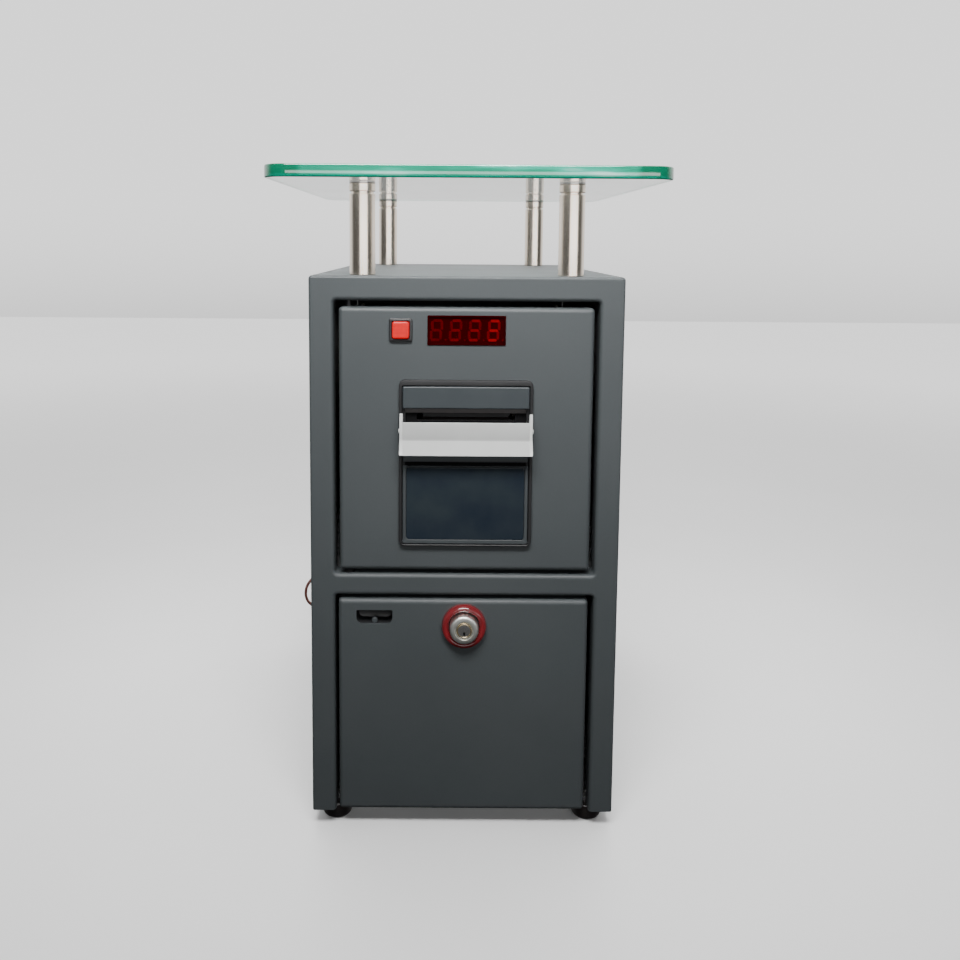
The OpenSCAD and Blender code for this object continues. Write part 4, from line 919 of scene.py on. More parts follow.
def display():
    """Red four-digit module: dark well, unlit bars given a painted glow, red filter."""
    bm = bmesh.new()
    rounded_block(bm, display_low[0], display_high[0], display_low[2], display_high[2],
                  display_low[1] + 1.6, display_high[1], 0.5, 0.2)
    rim = 0.8
    y0 = display_low[1]
    rings = [corner_ring(display_low[0] + g, display_high[0] - g, display_low[2] + g,
                         display_high[2] - g, 0.5, y) for g, y in
             ((0, y0 + 1.4), (0, y0 + 0.15), (0.15, y0), (rim - 0.1, y0), (rim, y0 + 0.1),
              (rim, y0 + 1.7))]
    loft(bm, rings)
    body = finish_mesh("display_body", bm, ["display_well"])
    place(body, "upper_front", "black_plastic", "display_housing")

    height = digits_high[2] - digits_low[2]
    width = height * 0.56
    bar = 1.75
    half = height / 2 - bar / 2
    step = 12.3
    cx = (digits_low[0] + digits_high[0]) / 2 - 1.0
    cz = (digits_low[2] + digits_high[2]) / 2
    y1 = digits_high[1]
    bm = bmesh.new()
    for number in range(4):
        for bar_name, (sx, sz, turn) in DIGIT_SHAPES.items():
            x = sx * (width - bar) / 2
            z = sz * half
            length = (half - 0.25) if turn else (width - bar - 0.25)
            rise = 0.12 * z
            # painted glow level: rises with the digit's place, more on the level bars than on the
            # upright ones
            glow = number if bar_name in BRIGHT_BARS else max(number - 2, 0)
            bar_prism(bm, cx + (number - 1.5) * step + x + rise, cz + z, y1, length, bar, turn,
                      glow)
        x = cx + (number - 1.5) * step + width / 2 + bar + 0.2
        bar_prism(bm, x, cz - half, y1, 1.5, 1.5, 0, 0)
    bars = finish_mesh("display_bars", bm, ["segment_" + n for n, _ in SEGMENT_PAINTED_GLOW], weld=False)
    place(bars, "upper_front", "segment_red", "display_digits")

    bm = bmesh.new()
    rounded_block(bm, lens_low[0], lens_high[0], lens_low[2], lens_high[2], lens_low[1],
                  lens_high[1], 0.3, 0.15)
    lens = finish_mesh("display_filter", bm, ["red_filter"])
    lens.visible_shadow = False
    place(lens, "upper_front", "display_red", "display_lens")


def bar_prism(bm, x, z, y1, length, width, turn, glow):
    """Flat bar with pointed ends and softened sides, standing 0.4 mm off the well's floor."""
    shape = [(-length / 2, 0), (-length / 2 + width * 0.42, -width / 2),
             (length / 2 - width * 0.42, -width / 2), (length / 2, 0),
             (length / 2 - width * 0.42, width / 2), (-length / 2 + width * 0.42, width / 2)]
    c, s = math.cos(math.radians(turn)), math.sin(math.radians(turn))
    rings = []
    for scale, y in ((1, y1), (1, y1 - 0.25), (0.86, y1 - 0.38)):
        rings.append([(x + (px * c - pz * s) * scale, y, z + (px * s + pz * c) * scale)
                      for px, pz in shape])
    start = len(bm.faces)
    loft(bm, rings)
    flat_face(bm, [rings[-1]], (0, -1, 0))
    paint(bm, start, glow)


def push_button():
    """Square lit button: black bezel with a well, and a crowned red cap."""
    half = (button_high[2] - button_low[2]) / 2
    y0 = button_low[1]
    depth = 9.0

    def ring(grow, y, r):
        return corner_ring(cap_x - half + grow, cap_x + half - grow, cap_z - half + grow,
                           cap_z + half - grow, r, y)

    well = half - (cap_high[0] - cap_low[0]) / 2 - 0.3
    bm = bmesh.new()
    rings = [ring(well - 1.0, front + 14, 0.6), ring(well - 1.0, front, 0.6),
             ring(0, front, 1.4), ring(0, y0 + 0.7, 1.4), ring(0.2, y0 + 0.2, 1.3),
             ring(0.6, y0, 1.1), ring(well - 0.35, y0, 0.9), ring(well - 0.05, y0 + 0.3, 0.8),
             ring(well, y0 + depth, 0.7)]
    loft(bm, rings)
    flat_face(bm, [rings[-1]], (0, -1, 0))
    flat_face(bm, [rings[0]], (0, 1, 0))
    for side in (-1, 1):
        brick(bm, (cap_x + side * 3 - 1, front + 14, cap_z - 0.4), (cap_x + side * 3 + 1, front + 21,
                                                             cap_z + 0.4), 0.1)
    housing = finish_mesh("button_bezel", bm, ["black_plastic"])
    place(housing, "upper_front", "black_plastic", "button_housing")

    bm = bmesh.new()
    rings = [corner_ring(cap_low[0] + g, cap_high[0] - g, cap_low[2] + g, cap_high[2] - g,
                         1.4, y) for g, y in
             ((0, cap_high[1]), (0, cap_low[1] + 0.8), (0.15, cap_low[1] + 0.35),
              (0.5, cap_low[1] + 0.1), (1.0, cap_low[1]), (1.3, cap_low[1]))]
    loft(bm, rings)
    flat_face(bm, [rings[-1]], (0, -1, 0))
    flat_face(bm, [rings[0]], (0, 1, 0))
    cap = finish_mesh("button_cap_lit", bm, ["lit_button"])
    place(cap, "button", "red_cap", "button_cap")


# ---------------------------------------------------------------- ticket printer


def printer_front():
    """Bezel, cover with its recessed mouth, and the paper door with its window."""
    rim_side, rim_low, rim_top = 2.2, 1.5, 3.9
    y0, y1 = bezel_low[1], bezel_high[1]
    lip_y = y1 - 0.6
    bx0, bx1, bz0, bz1 = bezel_low[0], bezel_high[0], bezel_low[2], bezel_high[2]

    def outer(inset, y, r=4.0):
        return corner_ring(bx0 + inset, bx1 - inset, bz0 + inset, bz1 - inset, r - inset, y)

    def inner(grow, y, r=1.2):
        return corner_ring(bx0 + rim_side - grow, bx1 - rim_side + grow, bz0 + rim_low - grow,
                           bz1 - rim_top + grow, r, y)

    wx, wz0, wz1 = chassis_high[0] - 2.4, chassis_low[2] + 1.5, chassis_high[2] - 1.5
    bm = bmesh.new()
    rings = [outer(0, y1), outer(0, y0 + 0.7), outer(0.2, y0 + 0.2), outer(0.65, y0),
             inner(0.55, y0, 1.6), inner(0.1, y0 + 0.35), inner(0, y0 + 0.7), inner(0, lip_y),
             corner_ring(-wx, wx, wz0, wz1, 0.6, lip_y), corner_ring(-wx, wx, wz0, wz1, 0.6, y1),
             outer(0, y1)]
    loft(bm, rings)
    bezel = finish_mesh("printer_surround", bm, ["surround_plastic"])
    place(bezel, "upper_front", "printer_plastic", "printer_bezel")

    printer_cover(lip_y)
    paper_door(y0)


def printer_cover(lip_y):
    """Cover bar, recessed plate with the ticket mouth, and the band under the flap; the gap below the
    mouth is painted near-black as shade.
    """
    bar_z1 = cover_high[2]
    bar_z0 = bezel_high[2] - 18.7
    mouth_z1 = bezel_high[2] - 22.5
    mouth_z0 = mouth_foot_z
    band_z0 = cover_low[2]
    band_z1 = band_z0 + 6.2
    x0, x1 = cover_low[0], cover_high[0]
    deep_x = chassis_high[0] - 1.7
    bar_y = bezel_low[1] - 0.2
    plate_y = bezel_low[1] + 5
    plate_back = plate_y + 1.5
    mouth_x = 32.0
    bm = bmesh.new()
    rounded_block(bm, x0, x1, bar_z0, bar_z1, bar_y, lip_y, 1.0, 0.8)
    rounded_block(bm, x0 + 0.4, x1 - 0.4, band_z0, band_z1, bar_y + 1.0, lip_y, 0.6, 0.5)
    brick(bm, (-deep_x, lip_y, bar_z0), (deep_x, plate_back, bar_z0 + 1.5), 0.2)
    brick(bm, (-deep_x, lip_y, band_z0 + 0.1), (deep_x, plate_y, band_z1 - 0.1), 0.2)
    # thin lip behind the door's top: a dark sheet that stands in for shade in the gap
    brick(bm, (-deep_x, lip_y + 0.25, band_z0 - 3.5), (deep_x, lip_y + 1.0, band_z0 + 0.5), 0.1)
    # recessed plate around the mouth, with a tear edge of small teeth under it
    split_z = mouth_z1 + 0.35
    upper = [(-deep_x, plate_y, split_z), (deep_x, plate_y, split_z),
             (deep_x, plate_y, bar_z0 + 0.2), (-deep_x, plate_y, bar_z0 + 0.2)]
    flat_face(bm, [upper], (0, -1, 0))
    upper_back = [(x, plate_back, z) for x, _, z in upper]
    flat_face(bm, [upper_back], (0, 1, 0))
    loft(bm, [upper_back, upper])
    outline = corner_ring(-deep_x, deep_x, band_z0 + 0.2, split_z, 0.05, plate_y)
    mouth = corner_ring(-mouth_x, mouth_x, mouth_z0, mouth_z1, 0.5, plate_y)
    back = [(x, plate_back, z) for x, _, z in mouth]
    flat_face(bm, [outline, mouth], (0, -1, 0))
    loft(bm, [mouth, back])
    far = [(x, plate_back, z) for x, _, z in outline]
    flat_face(bm, [far, back], (0, 1, 0))
    loft(bm, [far, outline])
    for side in (-1, 1):
        ear(bm, side, deep_x, plate_y)
    # behind the lip, faces above the mouth keep the plate's own plastic; all lower ones, with the
    # mouth's walls and the dark lip, get near-black painted shade
    for face in bm.faces:
        middle = face.calc_center_median() / MM
        if middle.y > lip_y + 0.1:
            face.material_index = 1 if middle.z > split_z - 0.01 else 2
    cover = finish_mesh("printer_cover_bar", bm,
                        ["cover_plastic", "recess_plastic", "painted_gap_shade"], weld=False)
    place(cover, "upper_front", "printer_plastic", "printer_cover")
    tear_edge(mouth_x, plate_y - 0.45, mouth_z0)


def tear_edge(half_width, y, z):
    """Row of small teeth under the ticket mouth."""
    teeth = 42
    pitch = (2 * half_width - 2) / (teeth - 1)
    bm = bmesh.new()
    points = [(-0.6, 0, -0.9), (0.6, 0, -0.9), (0, 0, 0), (-0.6, 0.5, -0.9), (0.6, 0.5, -0.9),
              (0, 0.5, 0)]
    v = [bm.verts.new(Vector(p) * MM) for p in points]
    for face in ((0, 1, 2), (3, 5, 4), (0, 2, 5, 3), (1, 4, 5, 2), (0, 3, 4, 1)):
        bm.faces.new([v[i] for i in face])
    row = repeated("tear_edge", bm, "blackened_steel", (1 - half_width, y, z), (teeth, 1),
                   ((pitch, 0, 0), (0, 0, 0)))
    place(row, "upper_front", "printer_plastic")


def ear(bm, side, deep_x, plate_y):
    """Rounded ear that carries a flap pin."""
    r = 1.6
    outline = [(plate_y, pin_z + r), (plate_y, pin_z - r)]
    outline += [(pin_y - r * math.cos(math.radians(a)), pin_z - r * math.sin(math.radians(-a)))
                for a in range(-90, 91, 15)]
    xa, xb = sorted((side * deep_x, side * (deep_x - 2)))
    rings = [[(x, y, z) for y, z in outline] for x in (xa, xb)]
    loft(bm, rings)
    flat_face(bm, [rings[0]], (-1, 0, 0))
    flat_face(bm, [rings[1]], (1, 0, 0))


def paper_door(y0):
    """Lower door: frame with a rounded lower edge and stub pins, and a glossy pane."""
    x0, x1 = paper_door_low[0] + 1.5, paper_door_high[0] - 1.5
    z0, z1 = paper_door_low[2], paper_door_high[2]
    face_y, back_y = paper_door_low[1], paper_door_high[1]
    wx0, wx1, wz0, wz1 = window_low[0], window_high[0], window_low[2], window_high[2]
    bm = bmesh.new()

    def frame_ring(grow, y, r=0.9):
        return corner_ring(x0 + grow, x1 - grow, z0 + grow, z1 - grow, r, y)

    def pane_ring(grow, y, r=2.0):
        return corner_ring(wx0 - grow, wx1 + grow, wz0 - grow, wz1 + grow, r, y)

    rings = [frame_ring(0.35, back_y), frame_ring(0.1, back_y - 0.3), frame_ring(0, back_y - 0.9),
             frame_ring(0, face_y + 0.9), frame_ring(0.12, face_y + 0.3),
             frame_ring(0.4, face_y), pane_ring(0.45, face_y), pane_ring(0.1, face_y + 0.25),
             pane_ring(0.05, face_y + 1.0), pane_ring(-3, face_y + 1.0, 2),
             pane_ring(-3, back_y, 2), frame_ring(0.35, back_y)]
    loft(bm, rings)
    hinge_y = (face_y + back_y) / 2
    for side in (-1, 1):
        stub = [(0.8, side * (paper_door_high[0] - 1.7)), (0.8, side * (paper_door_high[0] - 0.1)),
                (0.6, side * paper_door_high[0]), (0, side * paper_door_high[0])]
        lathe(bm, stub, "x", (0, hinge_y, z0 + 1.2), 24)
    door = finish_mesh("paper_door_frame", bm, ["printer_plastic"])
    place(door, "printer_door", "printer_plastic", "paper_door")

    bm = bmesh.new()
    rounded_block(bm, wx0 + 0.05, wx1 - 0.05, wz0 + 0.05, wz1 - 0.05, window_low[1] + 0.08,
                  window_high[1], 1.9, 0.4)
    pane = finish_mesh("paper_window", bm, ["dark_window"])
    place(pane, "printer_door", "window", "door_window")


def ticket_flap():
    """White flap: upper wall, lower lip that leans out, and end arms with pin bosses."""
    w = flap_high[0]
    t = 1.5
    wall_y = flap_wall_y()
    top, knee = mouth_foot_z, knee_z
    low = flap_low[2]
    slope = 5.0
    outline = [(wall_y + 0.25, top), (wall_y, top - 0.3), (wall_y, knee + 1.2),
               (wall_y - 0.25, knee - 0.3), (wall_y - slope + 0.3, low + 0.7),
               (wall_y - slope + 0.2, low + 0.2), (wall_y - slope + 0.5, low),
               (wall_y + t - slope - 0.4, low), (wall_y + t - slope, low + 0.3),
               (wall_y + t - 0.3, knee - 0.9), (wall_y + t, knee + 0.6),
               (wall_y + t, top - 0.3), (wall_y + t - 0.25, top)]
    bm = bmesh.new()
    reach = w - 1.0
    xs = (-reach, -reach + 0.25, reach - 0.25, reach)
    insets = (0.25, 0, 0, 0.25)
    mid_y = sum(p[0] for p in outline) / len(outline)
    rings = [[(x, y + (mid_y - y) * inset * 0.12, z) for y, z in outline]
             for x, inset in zip(xs, insets)]
    loft(bm, rings)
    flat_face(bm, [rings[0]], (-1, 0, 0))
    flat_face(bm, [rings[-1]], (1, 0, 0))
    for side in (-1, 1):
        arm(bm, side, w, wall_y, low, slope)
    bmesh.ops.recalc_face_normals(bm, faces=bm.faces)
    # the upper wall's faces take the darker copy: painted shade under the cover bar
    for face in bm.faces:
        middle = face.calc_center_median() / MM
        if middle.z > knee - 0.2 and abs(middle.x) < reach - 0.1:
            face.material_index = 1
    flap = finish_mesh("ticket_flap_white", bm, ["white_plastic", "white_plastic_painted_shade"], sharp=40,
                       weld=False)
    place(flap, "flap", "flap_plastic", "ticket_flap")

    profile_pins()


def flap_wall_y():
    """Outer face of the flap's upper wall."""
    return bezel_low[1] - 6.0


def arm(bm, side, w, wall_y, low, slope):
    """End arm of the flap with a soft outline."""
    top = flap_high[2]
    thick = 2.1
    shape = [(wall_y + 0.3, top), (wall_y + 1.3, top - 0.1), (wall_y + 1.6, top - 0.6),
             (pin_y + 0.4, pin_z + 4.8), (pin_y + 1.3, pin_z + 2.6), (pin_y + 1.8, pin_z + 0.8),
             (pin_y + 1.8, pin_z - 1.6), (pin_y + 1.4, pin_z - 3.2), (pin_y + 0.5, pin_z - 5),
             (wall_y - 3.2, low + 0.2), (wall_y - 3.6, low), (wall_y - slope + 0.4, low),
             (wall_y - slope, low + 0.5), (wall_y - 0.1, knee_z - 0.2),
             (wall_y, knee_z + 0.6), (wall_y, top - 0.4)]
    cy = sum(p[0] for p in shape) / len(shape)
    cz = sum(p[1] for p in shape) / len(shape)
    xa, xb = sorted((side * w, side * (w - thick)))
    rings = []
    proud = 0.15
    for x, shrink in ((xa, 0.97), (xa + 0.25, 1), (xb - 0.25, 1), (xb, 0.97)):
        rings.append([(x, cy + (y - cy) * shrink - (proud if y < pin_y else 0),
                       cz + (z - cz) * shrink) for y, z in shape])
    loft(bm, rings)
    flat_face(bm, [rings[0]], (-1, 0, 0))
    flat_face(bm, [rings[-1]], (1, 0, 0))


def profile_pins():
    """Two small pins with domed heads at the flap's ends."""
    bm = bmesh.new()
    for side in (-1, 1):
        inner_x = side * (chassis_high[0] - 4.3)
        head_x = side * (pins_high[0] - 0.8)
        end_x = side * pins_high[0]
        profile = [(0, inner_x), (0.9, inner_x), (0.9, head_x), (1.6, head_x),
                   (1.6, end_x - side * 0.4), (1.2, end_x - side * 0.1), (0.6, end_x),
                   (0, end_x)]
        lathe(bm, profile, "x", (0, pin_y, pin_z), 32)
    bmesh.ops.recalc_face_normals(bm, faces=bm.faces)
    pins = finish_mesh("flap_pivot_pins", bm, ["white_plastic"])
    place(pins, "upper_front", "zinc", "flap_pins")


# ---------------------------------------------------------------- lock and finger pull


def lock():
    """Glossy red ring, plated cylinder, and a key plug with its keyway."""
    r_out = (ring_high[0] - ring_low[0]) / 2
    r_in = 10.0
    height = ring_high[1] - ring_low[1]
    y1 = ring_high[1]
    crown = []
    for a in range(0, 181, 12):
        angle = math.radians(a)
        mid = (r_out + r_in) / 2
        half = (r_out - r_in) / 2
        crown.append((mid + half * math.cos(angle), y1 - height * math.sin(angle) ** 0.75))
    profile = [(r_out, y1)] + crown[1:-1] + [(r_in, y1 - 0.2), (r_in, y1), (r_out, y1)]
    ring = turned("lock_ring_red", profile, "y", [(lock_x, 0, lock_z)], "glossy_red", 96)
    place(ring, "drawer", "lock_red", "lock_ring")

    body_r, shank_r, bore = 9.5, 8.5, 5.05
    y_face, y_back = lock_low[1], lock_high[1]
    profile = [(bore, y_back), (bore, y_face + 0.9), (bore + 0.5, y_face + 0.5),
               (bore + 1.1, y_face + 0.5), (bore + 1.4, y_face), (body_r - 1.3, y_face),
               (body_r - 0.7, y_face + 0.15), (body_r - 0.2, y_face + 0.6),
               (body_r, y_face + 1.2), (body_r, front), (shank_r, front),
               (shank_r, front + sheet)]
    thread = []
    y = front + sheet + 3
    while y < y_back - 1.2:
        thread += [(shank_r - 0.35, y), (shank_r, y + 0.5)]
        y += 1.0
    profile += [(shank_r - 0.3, front + sheet)] + thread + [(shank_r - 0.5, y_back),
                                                            (bore, y_back)]
    bm = bmesh.new()
    lathe(bm, profile, "y", (lock_x, 0, lock_z), 96)
    nut_r, nut_y0, nut_y1 = 12.5, front + sheet, front + sheet + 3
    nut = [[(lock_x + nut_r * k * math.cos(math.radians(60 * i)), y,
             lock_z + nut_r * k * math.sin(math.radians(60 * i))) for i in range(6)]
           for k, y in ((0.68, nut_y1), (0.95, nut_y1), (1, nut_y1 - 0.4), (1, nut_y0),
                        (0.68, nut_y0), (0.68, nut_y1))]
    loft(bm, nut)
    bmesh.ops.recalc_face_normals(bm, faces=bm.faces)
    housing = finish_mesh("lock_cylinder", bm, ["lock_face"])
    place(housing, "drawer", "lock_silver", "lock_housing")
    key_plug()


def key_plug():
    """Key plug: grey dished face in a brass rim, with a small keyway low in it."""
    r = 5.0
    y_face = plug_low[1]
    y_back = plug_high[1]
    shoulder = y_back - 4
    depth = 6.0
    dish = y_face + 0.35
    slot = [(-0.75, -0.9), (0.75, -0.9), (0.75, -2.4), (0.45, -2.7), (0.45, -3.5), (-0.45, -3.5),
            (-0.45, -2.7), (-0.75, -2.4)]
    keyway = [(lock_x + x, dish, lock_z + z) for x, z in slot]
    floor = [(x, y + depth, z) for x, y, z in keyway]
    bm = bmesh.new()
    rings = [circle_loop(lock_x, lock_z, rr, y, 64) for rr, y in
             ((3.0, y_back), (3.0, shoulder), (r, shoulder), (r, y_face + 0.5),
              (r - 0.3, y_face + 0.08), (r - 0.6, y_face), (r - 0.9, dish))]
    loft(bm, rings)
    flat_face(bm, [rings[0]], (0, 1, 0))
    rim_faces = len(bm.faces)
    flat_face(bm, [rings[-1], keyway], (0, -1, 0))
    face_end = len(bm.faces)
    loft(bm, [keyway, floor])
    flat_face(bm, [floor], (0, -1, 0))
    paint(bm, rim_faces, 1, face_end)
    # the keyway's walls and floor are painted near-black: painted shade inside the slot
    paint(bm, face_end, 2)
    join_and_orient(bm)
    plug = finish_mesh("key_plug_brass", bm, ["turned_brass", "zinc_plate", "black_components_and_keyway_shade"],
                       weld=False)
    place(plug, "lock", "brass", "key_plug")


def finger_pull():
    """Moulded cup behind the slot, with a small nub at its lower edge."""
    y_rim = pull_low[1]
    y_back = pull_high[1]
    bm = bmesh.new()
    rings = [pull_loop(2.9, y_rim + 1.1), pull_loop(2.9, y_rim + 0.05), pull_loop(0.15, y_rim),
             pull_loop(0.15, y_back - 3.2), pull_loop(-0.6, y_back - 1.6),
             pull_loop(-1.6, y_back - 1.2)]
    loft(bm, rings)
    flat_face(bm, [rings[-1]], (0, -1, 0))
    outer = [pull_loop(2.9, y_rim + 1.1), pull_loop(1.2, y_rim + 1.1), pull_loop(1.2, y_back - 0.4),
             pull_loop(0.8, y_back)]
    loft(bm, outer[::-1])
    flat_face(bm, [outer[-1]], (0, 1, 0))
    x = (pull_low[0] + pull_high[0]) / 2
    z = pull_hole[2]
    start = len(bm.faces)
    profile = [(2.0, y_rim + 2.4), (2.0, y_rim + 0.9), (1.6, y_rim + 0.55), (0, y_rim + 0.5)]
    lathe(bm, profile, "y", (x, 0, z + 1.4), 32)
    paint(bm, start, 1)
    cup = finish_mesh("finger_pull_cup", bm, ["black_plastic", "printer_plastic"])
    place(cup, "drawer", "black_plastic", "pull_cup")


# ---------------------------------------------------------------- power lead

LEAD_D = 3.0
LEAD_ROUTE = [(-78, 193, 62), (-78, 199, 62), (-80, 206, 62), (-86, 212, 61.5), (-96, 214, 61),
              (-108, 212, 60), (-121, 207, 59), (-134, 201, 56.5), (-146, 196, 52),
              (-154, 193, 45), (-157, 192.5, 36), (-156, 194, 27), (-151, 198, 19),
              (-143, 204, 12), (-133, 209, 7), (-121, 213.5, 3.6), (-109, 216.5, 2),
              (-97, 218, 1.6), (-85, 218.5, 1.6), (-73, 218.5, 1.6)]
LEAD_TAIL = [(-62, 257.5, 10.6), (-66, 257.5, 10.6), (-70, 258.7, 9.5), (-74, 261.1, 7.4),
             (-78, 263.3, 5.5), (-81, 263.9, 5), (-83.95, 263.9, 5)]
COIL_CENTRE = (-62, 238)
COIL_MEAN = 16.5
COIL_COLUMNS = 3
COIL_ROWS = 4


def coil_points():
    """Turns that lie beside and on each other, a diameter apart, and a last half turn."""
    points = []
    per_turn = 24
    order = []
    for row in range(COIL_ROWS):
        columns = range(COIL_COLUMNS)
        order += [(row, c) for c in (columns if row % 2 == 0 else reversed(columns))]
    for n, (row, column) in enumerate(order[:-1]):
        next_row, next_column = order[n + 1]
        for k in range(per_turn):
            share = k / per_turn
            ease = max(0.0, (share - 0.75) / 0.25)
            ease = ease * ease * (3 - 2 * ease)
            radius = COIL_MEAN + LEAD_D * (1 - (column + (next_column - column) * ease))
            height = LEAD_D * (0.5 + row + (next_row - row) * ease) + 0.1
            angle = math.radians(-90 + 360 * share)
            points.append((COIL_CENTRE[0] + radius * math.cos(angle),
                           COIL_CENTRE[1] + radius * math.sin(angle), height))
    radius = COIL_MEAN + LEAD_D
    height = LEAD_D * (COIL_ROWS - 0.5) + 0.1
    for k in range(per_turn // 2):
        angle = math.radians(-90 + 360 * k / per_turn)
        points.append((COIL_CENTRE[0] + radius * math.cos(angle),
                       COIL_CENTRE[1] + radius * math.sin(angle), height))
    return points


def power_lead():
    """Thin round lead from the gland, round the back, into its coil."""
    curve = bpy.data.curves.new("power_lead_sleeve", "CURVE")
    curve.dimensions = "3D"
    curve.bevel_depth = LEAD_D / 2 * MM * 0.985
    curve.bevel_resolution = 3
    curve.use_fill_caps = True
    curve.resolution_u = 4
    route = LEAD_ROUTE + coil_points() + LEAD_TAIL
    spline = curve.splines.new("BEZIER")
    spline.bezier_points.add(len(route) - 1)
    for n, point in enumerate(spline.bezier_points):
        point.co = Vector(route[n]) * MM
        point.handle_left_type = point.handle_right_type = "AUTO"
    curve.materials.append(MATERIALS["red_sleeve"])
    lead = bpy.data.objects.new("power_lead_sleeve", curve)
    bpy.context.scene.collection.objects.link(lead)
    length = spline.calc_length()
    place(lead, "cabinet", "lead_sleeve", "power_lead", "lead_coil")
    return lead, length


def strain_relief():
    """Gland nut with a ribbed, tapered strain relief."""
    x, z = LEAD_ROUTE[0][0], LEAD_ROUTE[0][2]
    wall = shell_high[1] - 4
    end = LEAD_ROUTE[0][1]
    profile = [(0, wall - 7.5), (5, wall - 7.5), (5, wall - 5.5), (8, wall - 5.5), (8, wall - 1.6),
               (5, wall - 1.6), (5, wall), (8, wall), (8, wall + 1.6), (7.2, wall + 3), (6, wall + 3)]
    ribs = 5
    for n in range(ribs):
        y = wall + 3 + (end - wall - 3) * (n + 0.5) / (ribs + 0.5)
        r = 6 - (6 - 2.4) * (y - wall - 3) / (end - wall - 3)
        profile += [(r, y - 0.7), (r - 0.45, y - 0.5), (r - 0.5, y + 0.4), (r - 0.15, y + 0.7)]
    profile += [(2.3, end - 0.3), (2.0, end), (0, end)]
    gland = turned("lead_gland", profile, "y", [(x, 0, z)], "black_plastic", 48, 40)
    return place(gland, "cabinet", "black_plastic", "cable_gland")


def barrel_plug():
    """Barrel plug beside the coil: ribbed grip and metal tip."""
    low, high = span("lead_plug")
    cy, cz = (centre_of(low, high, axis) for axis in (1, 2))
    x0, x1 = low[0], high[0]
    bm = bmesh.new()
    grip = [(0, x1), (2.0, x1), (2.3, x1 - 0.5), (3.1, x1 - 7.5), (4.0, x1 - 9), (4.6, x1 - 11)]
    for n in range(6):
        grip += [(4.6, x1 - 14 - 2.4 * n), (4.2, x1 - 14.6 - 2.4 * n), (4.2, x1 - 15.4 - 2.4 * n),
                 (4.6, x1 - 16 - 2.4 * n)]
    grip += [(4.6, x0 + 10.6), (4.2, x0 + 10), (2.75, x0 + 10)]
    lathe(bm, grip, "x", (0, cy, cz), 40)
    body_faces = len(bm.faces)
    tip = [(2.75, x0 + 10), (2.75, x0 + 0.3), (2.5, x0), (1.3, x0), (1.2, x0 + 0.3),
           (1.2, x0 + 9), (0, x0 + 9)]
    lathe(bm, tip, "x", (0, cy, cz), 40)
    paint(bm, body_faces, 1)
    join_and_orient(bm)
    plug = finish_mesh("barrel_plug", bm, ["black_plastic", "zinc_plate"], weld=False)
    return place(plug, "cabinet", "black_plastic", "lead_plug")


def make_cord():
    """The lead with the two pieces at its ends."""
    lead, length = power_lead()
    gland = strain_relief()
    plug = barrel_plug()


# ---------------------------------------------------------------- carried-over nodes

NODE_FINISH = {
    "zinc_plate": ["foot_screws", "post_bolts",
                   "button_spring", "head_springs", "slide_bars", "lock_cam"],
    "blackened_steel": ["runner_left", "runner_right", "pivot_pins", "catch_plate", "thermal_head"],
    "galvanised_sheet": ["bottom_plate", "inner_shelf", "feed_motor"],
    "powder_coat": ["back_panel"],
    "circuit_board": ["control_board", "display_board"],
    "black_components_and_keyway_shade": ["board_components"],
    "turned_brass": ["board_standoffs"],
    "ferrite": ["magnet_catch"],
    "bonding_disc": ["glass_pads"],
    "black_plastic": ["printer_chassis", "roll_spindle"],
    "natural_nylon": ["idler_gear", "motor_gear"],
    "thermal_paper": ["paper_roll"],
    "moulded_rubber": ["platen_roller"],
}


def finish_nodes():
    """Procedural finishes on the CAD nodes that keep their own shape."""
    for finish, nodes in NODE_FINISH.items():
        for node in nodes:
            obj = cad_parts[node]
            obj.data.materials.clear()
            obj.data.materials.append(MATERIALS[finish])


# ---------------------------------------------------------------- stage


def studio_floor():
    """Pale floor that brightens far away, where it meets the wall."""
    mat = textured("studio_floor", (0.86, 0.86, 0.86), (0.9, 0.9, 0.9), 0.8, 0.05, 3.0, 60.0)
    points = object_points(mat)
    distance = add(mat, "ShaderNodeVectorMath", operation="LENGTH")
    link(mat, points, distance.inputs[0])
    far = add(mat, "ShaderNodeMapRange", interpolation_type="SMOOTHSTEP")
    for key, value in (("From Min", 0.5), ("From Max", 2.6), ("To Min", 0.0), ("To Max", 0.75)):
        far.inputs[key].default_value = value
    link(mat, distance.outputs["Value"], far.inputs["Value"])
    shader(mat).inputs["Emission Color"].default_value = (1, 1, 1, 1)
    link(mat, far.outputs["Result"], shader(mat).inputs["Emission Strength"])


def make_stage():
    """Plain pale floor that throws no light up at the machine."""
    bm = bmesh.new()
    bmesh.ops.create_grid(bm, x_segments=1, y_segments=1, size=4)
    floor = finish_mesh("floor", bm, ["studio_floor"])
    floor.visible_diffuse = False
    floor.visible_glossy = False


def area_light(name, place_at, aim, size, power, size_y=None, spread=180):
    data = bpy.data.lights.new(name, "AREA")
    data.shape = "RECTANGLE"
    data.size = size
    data.size_y = size_y or size
    data.energy = power
    data.spread = math.radians(spread)
    light = bpy.data.objects.new(name, data)
    bpy.context.scene.collection.objects.link(light)
    light.location = place_at
    light.rotation_euler = (Vector(aim) - Vector(place_at)).to_track_quat("-Z", "Y").to_euler()


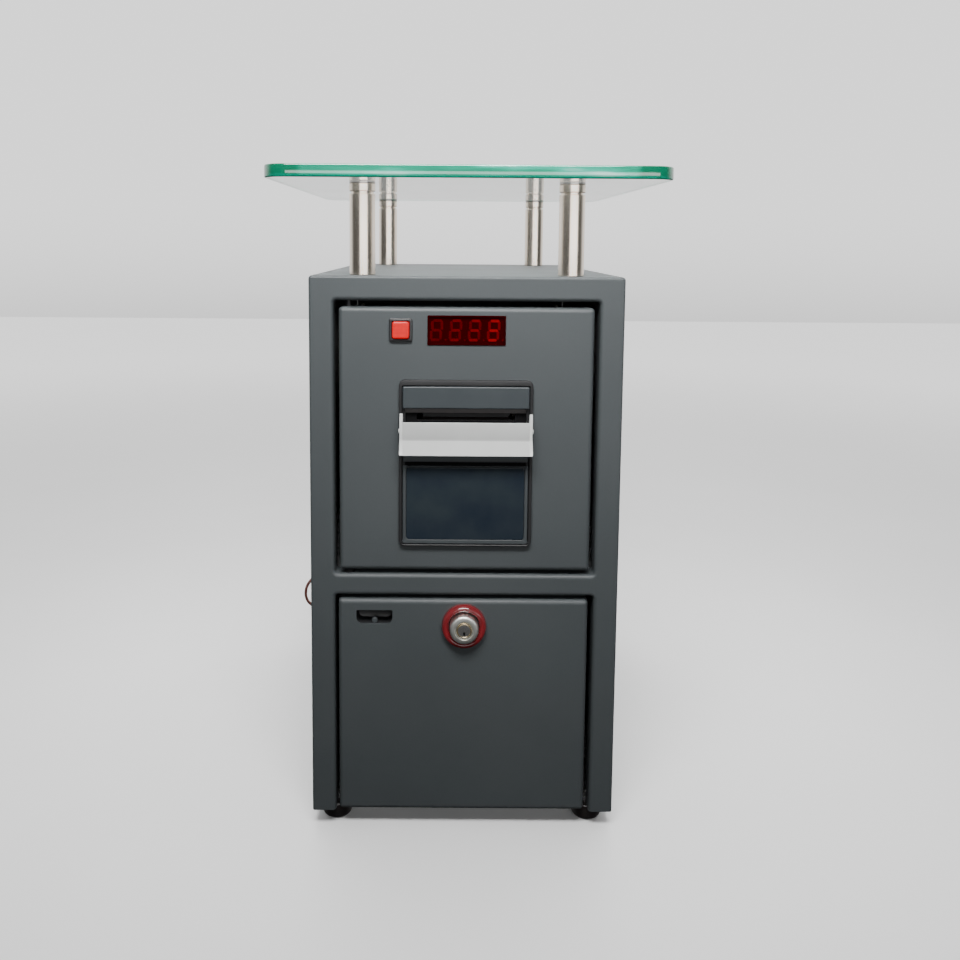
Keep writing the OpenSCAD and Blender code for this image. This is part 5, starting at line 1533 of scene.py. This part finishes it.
WALL_FRONT = 0.12
WALL_BACK = 1.5


def make_world():
    """Studio walls: bright behind and above the machine, dim behind the camera and below."""
    world = bpy.data.worlds.new("studio")
    bpy.context.scene.world = world
    world.use_nodes = True
    tree = world.node_tree
    coords = tree.nodes.new("ShaderNodeTexCoord")
    split = tree.nodes.new("ShaderNodeSeparateXYZ")
    tree.links.new(coords.outputs["Generated"], split.inputs["Vector"])
    walls = []
    for axis, limits in (("Y", (-0.2, 0.5, WALL_FRONT, WALL_BACK)), ("Z", (-0.3, 0.05, 0.1, 1))):
        wall = tree.nodes.new("ShaderNodeMapRange")
        wall.interpolation_type = "SMOOTHSTEP"
        for key, value in zip(("From Min", "From Max", "To Min", "To Max"), limits):
            wall.inputs[key].default_value = value
        tree.links.new(split.outputs[axis], wall.inputs["Value"])
        walls.append(wall.outputs["Result"])
    both = tree.nodes.new("ShaderNodeMath")
    both.operation = "MULTIPLY"
    tree.links.new(walls[0], both.inputs[0])
    tree.links.new(walls[1], both.inputs[1])
    background = tree.nodes["Background"]
    background.inputs["Color"].default_value = (1, 1, 1, 1)
    tree.links.new(both.outputs["Value"], background.inputs["Strength"])


def make_lights():
    """Key from above the front, a low strip at the right, and a broad light on top."""
    make_world()
    area_light("key", (-0.03, -0.56, 0.82), (0, -0.14, 0.40), 0.5, 2.6, size_y=0.2, spread=75)
    area_light("strip", (0.35, -1.5, 0.415), (0, -0.12, 0.40), 1.9, 7.2, size_y=0.2)
    area_light("top", (0.0, 0.35, 1.5), (0, 0.05, 0.4), 1.2, 14)


# ---------------------------------------------------------------- the whole machine

make_camera()
make_materials()
studio_floor()
# materials for the unlit display bars: each level is painted glow
for level, strength in SEGMENT_PAINTED_GLOW:
    glowing("segment_" + level, (0.07, 0.0, 0.001), (1.0, 0.0, 0.004), strength, 0.5, gloss=0.0)
make_cord()
cabinet_skin()
upper_front()
drawer_face()
drawer_box()
rubber_feet()
back_screws()
glass_shelf()
posts()
display()
push_button()
printer_front()
ticket_flap()
lock()
finger_pull()
finish_nodes()
make_stage()
make_lights()
